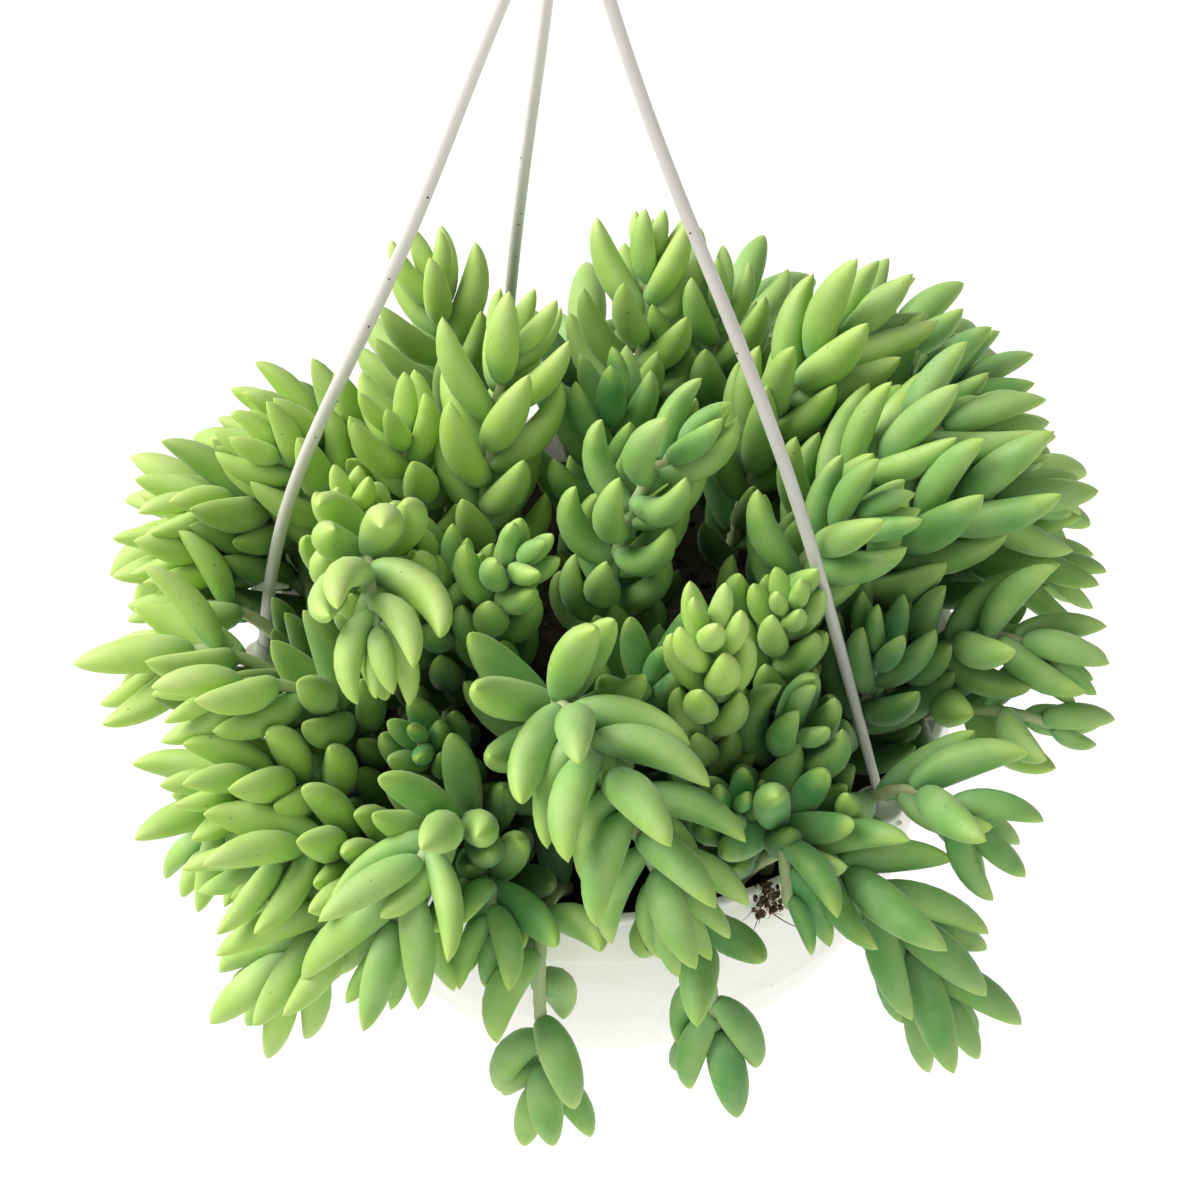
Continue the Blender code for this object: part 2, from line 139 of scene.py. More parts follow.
# name, root (x, y), crest (x, y, z), tip (x, y, z), bare share of the stem, habit, sun (0 shaded, 1 sunlit).
# In millimetres from the centre of the rim, as in the solids.
# Each shoot's sun share is painted into its leaves' colour: partly the shoot's own green, partly painted light
# from the upper left.
SHOOTS = (
    ("back_1", (-26, 40), (-34, 56, 42), (-38, 73, 73), 0.35, "full", 0.9),
    ("back_2", (6, 42), (12, 52, 46), (19, 78, 70), 0.35, "full", 0.8),
    ("back_3", (30, 40), (30, 55, 45), (34, 70, 64), 0.35, "full", 0.6),
    ("back_4", (-44, 34), (-68, 48, 20), (-92, 60, -10), 0.35, "hidden", 0.8),
    ("back_5", (-32, 58), (-42, 84, 14), (-48, 104, -20), 0.35, "hidden", 0.7),
    ("back_6", (-2, 62), (-2, 90, 14), (0, 110, -24), 0.35, "hidden", 0.6),
    ("back_7", (26, 60), (36, 86, 26), (46, 108, -8), 0.35, "hidden", 0.5),
    ("back_8", (48, 42), (68, 62, 34), (94, 80, 6), 0.35, "hidden", 0.4),
    ("middle_1", (-26, -8), (-25, 4, 58), (-10, 28, 92), 0.40, "full", 0.9),
    ("middle_2", (2, 6), (4, 8, 46), (5, 20, 78), 0.40, "open", 0.2),
    ("middle_3", (0, -22), (6, -22, 64), (31, -15, 86), 0.40, "curled", 0.4),
    ("middle_4", (-18, -34), (-24, -39, 55), (-9, -46, 80), 0.50, "rosette", 0.4),
    ("middle_5", (-38, -22), (-35, -28, 46), (-32, -24, 68), 0.45, "full", 0.4),
    ("middle_6", (4, -42), (8, -54, 42), (6, -64, 60), 0.45, "open", 0.1),
    ("right_1", (28, 18), (45, 24, 56), (76, 41, 67), 0.35, "shingled", 0.7),
    ("right_2", (44, 16), (66, 20, 47), (100, 36, 44), 0.35, "shingled", 0.3),
    ("right_3", (36, -4), (60, -4, 58), (100, 10, 53), 0.35, "shingled", 0.4),
    ("right_4", (50, -14), (71, -16, 50), (107, -2, 43), 0.35, "shingled", 0.3),
    ("right_5", (24, -34), (44, -33, 58), (72, -29, 70), 0.40, "full", 0.3),
    ("right_6", (54, -30), (81, -32, 31), (111, -41, 21), 0.40, "full", 0.4),
    ("right_7", (62, 2), (84, 0, 26), (116, -8, 16), 0.40, "full", 0.4),
    ("right_8", (62, -20), (86, -42, 18), (111, -46, 8), 0.45, "sparse", 0.4),
    ("right_9", (34, -46), (38, -47, 46), (45, -46, 70), 0.50, "rosette", 0.6),
    ("right_10", (60, 22), (86, 36, 20), (114, 40, -16), 0.35, "hidden", 0.4),
    ("front_1", (14, -54), (22, -65, 47), (21, -63, 85), 0.50, "rosette", 0.9),
    ("front_2", (46, -41), (60, -42, 30), (63, -37, 52), 0.45, "full", 0.1),
    ("front_3", (42, -60), (65, -73, 27), (86, -81, 5), 0.45, "full", 0.3),
    ("front_4", (26, -66), (49, -87, 19), (76, -97, -33), 0.40, "shingled", 0.2),
    ("front_5", (25, -54), (40, -66, 38), (50, -71, 49), 0.45, "curled", 0.3),
    ("front_6", (34, -62), (36, -83, 28), (37, -103, 6), 0.45, "full", 0.1),
    ("front_7", (-6, -56), (-10, -75, 63), (17, -114, 20), 0.30, "open", 0.4),
    ("front_8", (-12, -64), (-18, -98, 9), (-18, -106, -48), 0.40, "trailing", 0.4),
    ("front_9", (10, -66), (18, -101, 9), (20, -107, -34), 0.45, "trailing", 0.2),
    ("front_10", (-26, -58), (-38, -88, 38), (-56, -104, 0), 0.40, "shingled", 0.5),
    ("front_11", (-28, -64), (-28, -89, 19), (-29, -102, 2), 0.45, "full", 0.3),
    ("front_12", (20, -62), (26, -78, 26), (24, -84, 44), 0.50, "rosette", 0.1),
    ("front_13", (-34, -50), (-40, -62, 36), (-48, -72, 44), 0.50, "rosette", 0.2),
    ("left_1", (-44, -50), (-66, -77, 24), (-90, -81, 12), 0.40, "shingled", 0.8),
    ("left_2", (-36, -58), (-59, -87, 16), (-83, -87, -23), 0.40, "shingled", 0.7),
    ("left_3", (-44, -36), (-70, -49, 45), (-98, -56, 42), 0.35, "shingled", 0.9),
    ("left_4", (-54, -42), (-75, -62, 29), (-97, -69, 25), 0.40, "shingled", 0.8),
    ("left_5", (-60, -33), (-84, -52, 14), (-96, -61, -11), 0.45, "full", 0.7),
    ("left_6", (-58, -20), (-87, -23, 30), (-113, -20, 14), 0.40, "shingled", 1.0),
    ("left_7", (-46, 20), (-76, 19, 33), (-106, 7, 39), 0.40, "shingled", 1.0),
    ("left_8", (-58, 10), (-82, 14, 23), (-110, 1, 33), 0.40, "shingled", 1.0),
    ("left_9", (-63, -10), (-85, -3, 23), (-108, -1, 11), 0.45, "full", 0.9),
    ("left_10", (-38, 24), (-60, 24, 47), (-86, 27, 55), 0.40, "full", 1.0),
    ("left_11", (-48, 6), (-64, 12, 44), (-88, 16, 62), 0.40, "full", 1.0),
    ("left_12", (-44, -18), (-51, -31, 67), (-47, -70, 63), 0.35, "curled", 0.8),
    ("left_13", (-32, 8), (-42, 8, 54), (-48, 14, 80), 0.45, "full", 0.9),
    ("left_14", (-48, -8), (-54, -15, 55), (-58, -18, 79), 0.45, "rosette", 1.0),
    ("left_15", (-62, 31), (-91, 38, 16), (-112, 42, -18), 0.40, "hidden", 0.9),
)

GOLDEN_ANGLE = math.radians(137.508)
YOUNG_SPREAD, YOUNG_CURL = 10.0, 18.0
# How far leaves stray from the rule: spread and curl in degrees, turn in radians, lean and sun as shares.
ANGLE_WANDER, TURN_WANDER, LEAN_WANDER, SUN_WANDER = 5.0, 0.10, 0.06, 0.08
SIZE_SPAN, WIDTH_SPAN = (0.90, 1.08), (0.93, 1.07)
# The lowest leaves, on this share of the stem over its bare part, are smaller and wider apart.
LOW_STRETCH, LOW_SMALLER, LOW_WIDER = 0.12, 0.25, 0.9
# Leaves inside the rim get their full sun share only this high over the soil; lower down they get painted shade.
FULL_SUN_HEIGHT = 66.0 * MM
BASE_IN_STEM = 0.45
STEM_LOW, STEM_HIGH = 1.9 * MM, 1.15 * MM
STEM_RINGS, STEM_SIDES = 44, 10
STEM_KNOB = 0.10

# Shape of a leaf: the shares of its length at which it has a ring of points and its tip, and its outline.
LEAF_RINGS = np.array([0.0, 0.035, 0.09, 0.17, 0.27, 0.38, 0.50, 0.62, 0.73, 0.83, 0.905, 0.96, 0.99])
LEAF_TIP = 1.012
LEAF_BASE, LEAF_SWELL, LEAF_TAPER = 0.05, 0.50, 0.66
# The higher this is, the narrower the lime edge.
EDGE_POWER = 6

# How leaves settle. Each has a test sphere at these shares of its length, a little slimmer than the leaf.
SPHERES = (0.20, 0.42, 0.63, 0.84)
SPHERE_FIT = 0.86
PAIR_MARGIN = 3.0 * MM
ROUNDS_TO_A_LOOKUP = 6
TURN_KEPT, TURN_TAKEN = 0.985, 0.9
# Fixed spheres stand along the stems, the arms and the openings before the front feet.
STEM_STEP = 3.0 * MM
ARM_CLEARANCE, LIP_CLEARANCE = 1.7 * MM, 1.2 * MM
OPENING_RADIUS, OPENING_REACHES = 4.6 * MM, range(2, 40, 6)
OPENING_DEPTH, OPENING_MARGIN = 1.5 * MM, 2.0 * MM
# Below the collar, leaves are kept off a plain cone that narrows at this rate.
BOWL_SLOPE = 0.30
# A leaf that still presses deeper than this share of its width is left out.
MOST_PRESS = 0.42

# The plant is parted towards this direction in front of the two front feet and of the spilt soil.
OPENING = (0.0, -0.69, 0.72)
SPILL_AZIMUTH = -66.5
# azimuth, drop below the rim, reach (x, y, z), sag and radius of the longer roots, in millimetres.
LONG_ROOTS = ((-66.0, 8.0, (8.0, -3.0, -3.5), 1.0, 0.16), (-67.5, 4.0, (-2.0, -3.0, -6.0), 0.8, 0.14))

FLOOR_HALF = 12.0
# Where the two soft lights come from, how wide they are in degrees, and the fill's strength against the key's.
KEY_FROM, KEY_WIDTH = (-0.66, 0.20, 0.72), 50.0
FILL_FROM, FILL_WIDTH, FILL_SHARE = (0.25, -0.90, 0.35), 60.0, 0.20
# How far the camera aims past the rim's centre, in millimetres to its right and up.
AIM_RIGHT, AIM_UP = -0.714, 11.905


class BURRO_PG_leaves(PropertyGroup):
    """Shape of the leaves and how they settle."""
    scale: FloatProperty(name="Leaf scale", description="Size of every leaf", default=1.0)
    inner: FloatProperty(name="Inner fullness", description="Thickness of the flatter side", default=0.74)
    outer: FloatProperty(name="Outer fullness", description="Thickness of the rounder side", default=0.95)
    sides: IntProperty(name="Sides", description="Points round a leaf", default=14)
    rounds: IntProperty(name="Settling rounds", description="How often the leaves give way", default=90)
    give: FloatProperty(name="Most give", description="Furthest a leaf turns aside",
                        default=math.radians(48.0), subtype="ANGLE")


class BURRO_PG_colours(PropertyGroup):
    """Colours of the plant, the pot and the hanger."""
    # The leaf green runs from shaded to sunlit by each leaf's sun share: partly the leaves' own colour, partly
    # painted light and painted shade.
    shade: FloatVectorProperty(name="Shaded leaf", description="Green of a leaf grown in shade",
                               subtype="COLOR", default=(0.055, 0.305, 0.075))
    sun: FloatVectorProperty(name="Sunlit leaf", description="Green of a leaf grown in sun", subtype="COLOR",
                             default=(0.530, 0.755, 0.125))
    # The inner leaf green is painted shade, laid on leaves low inside the pot.
    deep: FloatVectorProperty(name="Inner leaf", description="Dark green of an old leaf deep in the plant",
                              subtype="COLOR", default=(0.022, 0.075, 0.020))
    glaucous: FloatVectorProperty(name="Leaf base", description="Bluish green at a leaf's base",
                                  subtype="COLOR", default=(0.130, 0.360, 0.150))
    tip: FloatVectorProperty(name="Leaf tip", description="Lime at a leaf's tip and edges", subtype="COLOR",
                             default=(0.500, 0.700, 0.120))
    # This pale colour is also a painted highlight on the upper sides of sunlit leaves.
    bloom_and_highlight: FloatVectorProperty(name="Bloom", description="Pale waxy bloom on the leaves", subtype="COLOR",
                               default=(0.720, 0.770, 0.470))
    stem: FloatVectorProperty(name="Stem", description="Pale green of the stems", subtype="COLOR",
                              default=(0.420, 0.520, 0.260))
    pot: FloatVectorProperty(name="Pot", description="White of the moulded pot", subtype="COLOR",
                             default=(0.900, 0.885, 0.835))
    hanger: FloatVectorProperty(name="Hanger", description="Off-white of the hanger", subtype="COLOR",
                                default=(0.720, 0.700, 0.660))
    # The soil's own dark brown, made darker still as painted shade between the leaves.
    soil: FloatVectorProperty(name="Soil", description="Dark brown of the potting mix", subtype="COLOR",
                              default=(0.014, 0.013, 0.008))


class BURRO_PG_stage(PropertyGroup):
    """Floor, light and camera."""
    floor_drop: FloatProperty(name="Floor drop", description="Floor below the pot's foot", default=0.9,
                              subtype="DISTANCE", unit="LENGTH")
    pitch: FloatProperty(name="Camera pitch", description="How far the camera looks down",
                         default=math.radians(46.0), subtype="ANGLE")
    roll: FloatProperty(name="Camera roll", description="How far the camera leans",
                        default=math.radians(3.0), subtype="ANGLE")
    distance: FloatProperty(name="Camera distance", description="From the rim's centre, along the view",
                            default=1.0, subtype="DISTANCE", unit="LENGTH")
    lens: FloatProperty(name="Focal length", description="In millimetres on a 36 mm sensor", default=126.0)
    sky: FloatProperty(name="Sky strength", description="Strength of the even light all round", default=0.20)
    key: FloatProperty(name="Key light", description="Strength of the light at the upper left", default=4.3)


def leaves_set():
    return bpy.context.scene.burro_leaves


def colours_set():
    return bpy.context.scene.burro_colours


def at(azimuth, radius, height):
    """A place given by its angle about the upright axis in degrees, its distance from it and its height."""
    angle = math.radians(azimuth)
    return Vector((radius * math.cos(angle), radius * math.sin(angle), height))


def rise(height):
    """A step straight up."""
    return Vector((0.0, 0.0, height))


def rim(x, y, z):
    """A place given in millimetres from the rim's centre."""
    return Vector((x * MM, y * MM, z * MM + RIM_Z))


# ---------------------------------------------------------------- materials


def new_material(name, roughness, specular=0.5):
    """A material, its node tree and its shader."""
    made = bpy.data.materials.new(name)
    made.use_nodes = True
    shader = made.node_tree.nodes["Principled BSDF"]
    shader.inputs["Roughness"].default_value = roughness
    shader.inputs["Specular IOR Level"].default_value = specular
    return made, made.node_tree, shader


def attribute(tree, name):
    """A number that the mesh holds for each of its points."""
    found = tree.nodes.new("ShaderNodeAttribute")
    found.attribute_name = name
    return found.outputs["Fac"]


def noise_at(tree, scale, detail=3.0, roughness=0.5, stretch=(1.0, 1.0, 1.0)):
    """Noise in the object's own coordinates, with `scale` features to the metre."""
    place = tree.nodes.new("ShaderNodeTexCoord")
    mapping = tree.nodes.new("ShaderNodeMapping")
    mapping.inputs["Scale"].default_value = stretch
    made = tree.nodes.new("ShaderNodeTexNoise")
    made.inputs["Scale"].default_value = scale
    made.inputs["Detail"].default_value = detail
    made.inputs["Roughness"].default_value = roughness
    tree.links.new(place.outputs["Object"], mapping.inputs["Vector"])
    tree.links.new(mapping.outputs["Vector"], made.inputs["Vector"])
    return made.outputs["Fac"]


def between(tree, value, low, high, to_low=0.0, to_high=1.0):
    """Maps low..high smoothly to to_low..to_high, and holds it beyond."""
    made = tree.nodes.new("ShaderNodeMapRange")
    made.interpolation_type = "SMOOTHSTEP"
    for name, number in (("From Min", low), ("From Max", high), ("To Min", to_low), ("To Max", to_high)):
        made.inputs[name].default_value = number
    tree.links.new(value, made.inputs["Value"])
    return made.outputs["Result"]


def math_node(tree, operation, first, second):
    """Two sockets or numbers, put together."""
    made = tree.nodes.new("ShaderNodeMath")
    made.operation = operation
    for socket, value in zip(made.inputs, (first, second)):
        if isinstance(value, (int, float)):
            socket.default_value = value
        else:
            tree.links.new(value, socket)
    return made.outputs["Value"]


def mixed(tree, factor, first, second):
    """Mixes two colours, each a socket or three numbers."""
    made = tree.nodes.new("ShaderNodeMix")
    made.data_type = "RGBA"
    for name, value in (("Factor", factor), ("A", first), ("B", second)):
        socket = next(s for s in made.inputs if s.name == name and s.enabled)
        if isinstance(value, (int, float)):
            socket.default_value = value
        elif hasattr(value, "node"):
            tree.links.new(value, socket)
        else:
            socket.default_value = (*value, 1.0)
    return next(s for s in made.outputs if s.name == "Result" and s.enabled)


def bump(tree, shader, height, strength, distance):
    """Small relief from a height socket."""
    made = tree.nodes.new("ShaderNodeBump")
    made.inputs["Strength"].default_value = strength
    made.inputs["Distance"].default_value = distance
    tree.links.new(height, made.inputs["Height"])
    tree.links.new(made.outputs["Normal"], shader.inputs["Normal"])


def flecked(tree, colour, other, scale, detail, low, high, most=1.0, **more):
    """Mixes in the other colour, up to the share `most`, as noise of this scale goes from low to high."""
    share = between(tree, noise_at(tree, scale, detail, **more), low, high, 0.0, most)
    return mixed(tree, share, colour, other)


def dress(tree, shader, colour, **inputs):
    """Links the shader's colour and sets its other inputs, each named with _ for its spaces."""
    tree.links.new(colour, shader.inputs["Base Color"])
    for name, value in inputs.items():
        shader.inputs[name.replace("_", " ")].default_value = value


def leaf_material():
    """Waxy green: bluish at the base, lime at the tip and the edges, paler in waxy patches. It holds painted
    light too: a painted highlight on the upper sides of sunlit leaves, painted shade on leaves low in the pot,
    and a shaded-to-sunlit green that is partly painted light.
    """
    tone = colours_set()
    made, tree, shader = new_material("stonecrop_leaf", 0.55, 0.32)
    sun, deep = attribute(tree, "sun"), attribute(tree, "deep")
    uneven = math_node(tree, "MULTIPLY", noise_at(tree, 160.0), 0.25)
    wander = math_node(tree, "ADD", attribute(tree, "along"), uneven)
    # Shaded to sunlit green by the sun share: partly the leaves' own colour, partly painted light.
    green = mixed(tree, sun, tone.shade, tone.sun)
    green = mixed(tree, math_node(tree, "MULTIPLY", noise_at(tree, 90.0, 4.0), 0.35), green, tone.shade)
    green = mixed(tree, between(tree, wander, 0.10, 0.60, 0.70, 0.0), green, tone.glaucous)
    edge = math_node(tree, "MULTIPLY", attribute(tree, "margin"), 0.22)
    lime = math_node(tree, "ADD", between(tree, wander, 0.78, 1.18, 0.0, 0.62), edge)
    green = mixed(tree, lime, green, tone.tip)
    # Painted shade: leaves low inside the pot are mixed towards the inner leaf green.
    green = mixed(tree, deep, green, tone.deep)
    # Painted highlight: upward-facing sides of sunlit leaves are mixed towards the pale bloom colour, as are the
    # real waxy patches.
    split = tree.nodes.new("ShaderNodeSeparateXYZ")
    tree.links.new(tree.nodes.new("ShaderNodeNewGeometry").outputs["Normal"], split.inputs["Vector"])
    upper = math_node(tree, "MULTIPLY", between(tree, split.outputs["Z"], 0.1, 1.0, 0.0, 0.22), sun)
    patches = between(tree, noise_at(tree, 120.0), 0.36, 0.66, 0.02, 0.16)
    bloom_and_highlight_mask = math_node(tree, "ADD", upper, patches)
    bloom_and_highlight_mask = math_node(tree, "MULTIPLY", bloom_and_highlight_mask, math_node(tree, "SUBTRACT", 1.0, deep))
    green = mixed(tree, bloom_and_highlight_mask, green, tone.bloom_and_highlight)
    green = flecked(tree, green, (0.16, 0.14, 0.05), 700.0, 1.0, 0.76, 0.80, 0.6)
    dull = between(tree, noise_at(tree, 260.0, 5.0, 0.6), 0.36, 0.66, 0.50, 0.66)
    tree.links.new(dull, shader.inputs["Roughness"])
    dress(tree, shader, green, Subsurface_Weight=0.15, Subsurface_Radius=(0.9, 1.0, 0.35),
          Subsurface_Scale=2.2 * MM, Sheen_Weight=0.14, Sheen_Roughness=0.45)
    bump(tree, shader, noise_at(tree, 900.0), 0.12, 0.15 * MM)
    return made


def stem_material():
    """Pale green with buff scars where leaves have dropped."""
    made, tree, shader = new_material("stonecrop_stem", 0.55, 0.35)
    colour = flecked(tree, colours_set().stem, (0.42, 0.36, 0.20), 420.0, 3.0, 0.48, 0.66, 0.55)
    low = between(tree, attribute(tree, "along"), 0.0, 0.35, 0.55, 0.0)
    colour = mixed(tree, low, colour, (0.16, 0.15, 0.07))
    dress(tree, shader, colour, Subsurface_Weight=0.1, Subsurface_Scale=1.5 * MM)
    bump(tree, shader, noise_at(tree, 700.0), 0.3, 0.25 * MM)
    return made


def pot_material():
    """White moulded plastic, a little see-through, with faint dust and grit, and a faint painted glow in its own
    colour.
    """
    made, tree, shader = new_material("pot_white_plastic", 0.38, 0.45)
    colour = flecked(tree, colours_set().pot, (0.70, 0.68, 0.58), 60.0, 5.0, 0.46, 0.74, 0.30, roughness=0.65)
    colour = flecked(tree, colour, (0.42, 0.34, 0.24), 900.0, 2.0, 0.70, 0.76, 0.35)
    # A faint glow in the pot's own colour: painted light that brightens the pot.
    dress(tree, shader, colour, Subsurface_Weight=0.3, Subsurface_Radius=(1.0, 0.95, 0.8),
          Subsurface_Scale=4.0 * MM, Emission_Strength=0.05)
    tree.links.new(colour, shader.inputs["Emission Color"])
    bump(tree, shader, noise_at(tree, 300.0, 2.0), 0.05, 0.2 * MM)
    return made


def hanger_material():
    """Off-white moulded plastic with fine scuffs along the arms."""
    made, tree, shader = new_material("hanger_plastic", 0.36, 0.45)
    colour = flecked(tree, colours_set().hanger, (0.60, 0.57, 0.50), 240.0, 4.0, 0.45, 0.70, 0.35,
                     roughness=0.6, stretch=(1.0, 1.0, 0.12))
    colour = flecked(tree, colour, (0.22, 0.15, 0.09), 520.0, 1.0, 0.79, 0.82, 0.8)
    dress(tree, shader, colour, Subsurface_Weight=0.12, Subsurface_Scale=1.5 * MM)
    bump(tree, shader, noise_at(tree, 500.0, 2.0, 0.5, (1.0, 1.0, 0.2)), 0.1, 0.15 * MM)
    return made


def soil_material():
    """Dark potting mix, darker still as painted shade, with paler fibres and the odd grain of perlite."""
    made, tree, shader = new_material("potting_mix", 0.95, 0.2)
    colour = flecked(tree, colours_set().soil, (0.04, 0.028, 0.018), 500.0, 5.0, 0.40, 0.70, roughness=0.7)
    colour = flecked(tree, colour, (0.16, 0.12, 0.08), 380.0, 1.0, 0.74, 0.78)
    dress(tree, shader, colour)
    bump(tree, shader, noise_at(tree, 900.0, 5.0, 0.7), 0.9, 1.2 * MM)
    return made


def root_material():
    """Brown crumbs and fibres."""
    made, tree, shader = new_material("root_fibres", 0.9, 0.2)
    colour = flecked(tree, (0.045, 0.024, 0.014), (0.20, 0.12, 0.07), 800.0, 3.0, 0.40, 0.62)
    dress(tree, shader, colour)
    return made


def speck_material():
    """Dark specks on the arms."""
    made, tree, shader = new_material("dark_speck", 0.8, 0.2)
    colour = mixed(tree, noise_at(tree, 900.0), (0.03, 0.02, 0.015), (0.09, 0.05, 0.03))
    dress(tree, shader, colour)
    return made


# ---------------------------------------------------------------- meshes


def new_piece(name, points, faces, *materials):
    """A smooth mesh object with these materials."""
    mesh = bpy.data.meshes.new(name)
    mesh.from_pydata(points, [], faces)
    for item in materials:
        mesh.materials.append(item)
    mesh.shade_smooth()
    made = bpy.data.objects.new(name, mesh)
    bpy.context.scene.collection.objects.link(made)
    return made


def use_second(piece, first_face):
    """Gives the faces from this one on the piece's second material."""
    for face in piece.data.polygons[first_face:]:
        face.material_index = 1


def taken(shape):
    """(points, faces) of a bmesh, which is then freed."""
    shape.verts.index_update()
    points = [vertex.co.copy() for vertex in shape.verts]
    faces = [tuple(vertex.index for vertex in face.verts) for face in shape.faces]
    shape.free()
    return points, faces


def circle(radius, height, sides):
    """Points of a level circle about the upright axis."""
    turns = [2.0 * math.pi * k / sides for k in range(sides)]
    return [Vector((radius * math.cos(turn), radius * math.sin(turn), height)) for turn in turns]


def bands(rings, sides):
    """Faces between rings of points that follow each other."""
    faces = []
    for start in range(0, (rings - 1) * sides, sides):
        for k in range(sides):
            a, b = start + k, start + (k + 1) % sides
            faces.append((a, b, b + sides, a + sides))
    return faces


def caps(rings, sides):
    """Faces that close the first and the last ring."""
    return [tuple(range(sides - 1, -1, -1)), tuple(range((rings - 1) * sides, rings * sides))]


def settle_piece(piece, slot, *nodes):
    """Says what the piece rides on and what it replaces. The slot, what it is made of, is not used."""
    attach(piece, BODY)
    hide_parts(*nodes)


def lathe(profile, sides, closed=True):
    """(points, faces) of a (radius, height) outline turned about +Z. The outline is a loop if `closed`."""
    points = []
    for k in range(sides):
        angle = 2.0 * math.pi * k / sides
        points += [(r * math.cos(angle), r * math.sin(angle), z) for r, z in profile]
    count = len(profile)
    faces = []
    for k in range(sides):
        a, b = k * count, (k + 1) % sides * count
        for i in range(count if closed else count - 1):
            j = (i + 1) % count
            faces.append((a + i, a + j, b + j, b + i))
    return points, faces


def tube_mesh(path, radii, sides=12, flat=1.0, across=None):
    """(points, faces) of a capped tube along the path. `across` is where a flat one keeps its full width."""
    path = [Vector(p) for p in path]
    points = []
    normal = None
    for i, place in enumerate(path):
        ahead = (path[min(i + 1, len(path) - 1)] - path[max(i - 1, 0)]).normalized()
        if across is not None:
            side = (across - ahead * across.dot(ahead)).normalized()
        else:
            normal = ahead.orthogonal() if normal is None else normal
            side = (normal - ahead * normal.dot(ahead)).normalized()
        normal = side
        other = ahead.cross(side)
        radius = float(radii[i])
        for k in range(sides):
            angle = 2.0 * math.pi * k / sides
            points.append(place + radius * (side * math.cos(angle) + other * math.sin(angle) * flat))
    return points, bands(len(path), sides) + caps(len(path), sides)


def joined(*parts):
    """One (points, faces) from several."""
    points, faces = [], []
    for some_points, some_faces in parts:
        start = len(points)
        points += [tuple(p) for p in some_points]
        faces += [tuple(i + start for i in face) for face in some_faces]
    return points, faces


def turned(outline, sides, place):
    """(points, faces) of an open outline in millimetres, turned about +Z and set at the place."""
    points, faces = lathe([(r * MM, h * MM) for r, h in outline], sides, closed=False)
    return [Vector(p) + place for p in points], faces


def smooth_curve(points, steps):
    """Catmull-Rom points through the given ones, with `steps` to a span."""
    points = [Vector(p) for p in points]
    ends = [points[0] * 2.0 - points[1], *points, points[-1] * 2.0 - points[-2]]
    found = []
    for a, b, c, d in zip(ends, ends[1:], ends[2:], ends[3:]):
        for k in range(steps):
            t = k / steps
            found.append(0.5 * (2.0 * b + (c - a) * t + (2.0 * a - 5.0 * b + 4.0 * c - d) * t * t
                                + (3.0 * b - a - 3.0 * c + d) * t ** 3))
    return [*found, points[-1]]


# ---------------------------------------------------------------- pot


def bowl_side(steps):
    """The bowl's outer side from under the collar to just above the foot ring."""
    top, low = RIM_Z - COLLAR_HEIGHT - 1.0 * MM, POT_LOW.z + 4.0 * MM
    side = []
    for i in range(steps + 1):
        turn = i / steps * math.pi / 2.0
        radius = FOOT_RADIUS + (BOWL_RADIUS - FOOT_RADIUS) * math.cos(turn) ** BOWL_FULLNESS
        side.append((radius, top + (low - top) * math.sin(turn) ** BOWL_DROP))
    return side


def rounded(corner, before, after, radius, steps=4):
    """Points that round off a corner of an outline between its two neighbours."""
    corner, before, after = Vector(corner), Vector(before), Vector(after)
    start = corner + (before - corner).normalized() * radius
    end = corner + (after - corner).normalized() * radius
    return [tuple(start.lerp(corner, i / steps).lerp(corner.lerp(end, i / steps), i / steps))
            for i in range(steps + 1)]


def pot_outline():
    """The pot's wall as one closed outline: collar, bowl with its moulded rings, foot, then the inside."""
    top, foot = RIM_Z, POT_LOW.z
    collar = RIM_RADIUS - 1.0 * MM
    skirt_low = top - COLLAR_HEIGHT
    lip_in, lip_out = (RIM_RADIUS - WALL - 0.4 * MM, top), (RIM_RADIUS, top)
    outline = [(RIM_RADIUS - WALL / 2.0, top)]
    outline += rounded(lip_out, lip_in, (collar, skirt_low), 1.0 * MM)
    outline += [(RIM_RADIUS - 0.9 * MM, top - 2.6 * MM), (RIM_RADIUS - 0.8 * MM, top - 3.4 * MM)]
    outline += rounded((collar, skirt_low), lip_out, (collar - WALL, skirt_low), 0.9 * MM)
    outline += [(collar - WALL, skirt_low), (BOWL_RADIUS + 0.3 * MM, skirt_low + 3.0 * MM)]
    side = bowl_side(28)
    for i, (radius, height) in enumerate(side):
        bead = BEAD_HEIGHT if i in BOWL_BEADS else 0.0
        outline.append((radius + bead, height))
    outline += rounded((FOOT_RADIUS, foot), side[-1], (FOOT_RADIUS - 3.0 * MM, foot), 0.8 * MM)
    under = foot + FOOT_RISE
    outline += [(FOOT_RADIUS - 3.0 * MM, foot), (FOOT_RADIUS - 4.0 * MM, under), (0.05 * MM, under)]
    outline += [(0.05 * MM, FLOOR_Z)]
    outline += [(radius - WALL, max(height + WALL / 2.0, FLOOR_Z)) for radius, height in reversed(side)]
    outline += [(BOWL_RADIUS - WALL, skirt_low + 4.0 * MM), (RIM_RADIUS - WALL - 0.6 * MM, top - 2.0 * MM)]
    outline += rounded(lip_in, (lip_in[0], top - 2.0 * MM), lip_out, 0.7 * MM)
    return outline


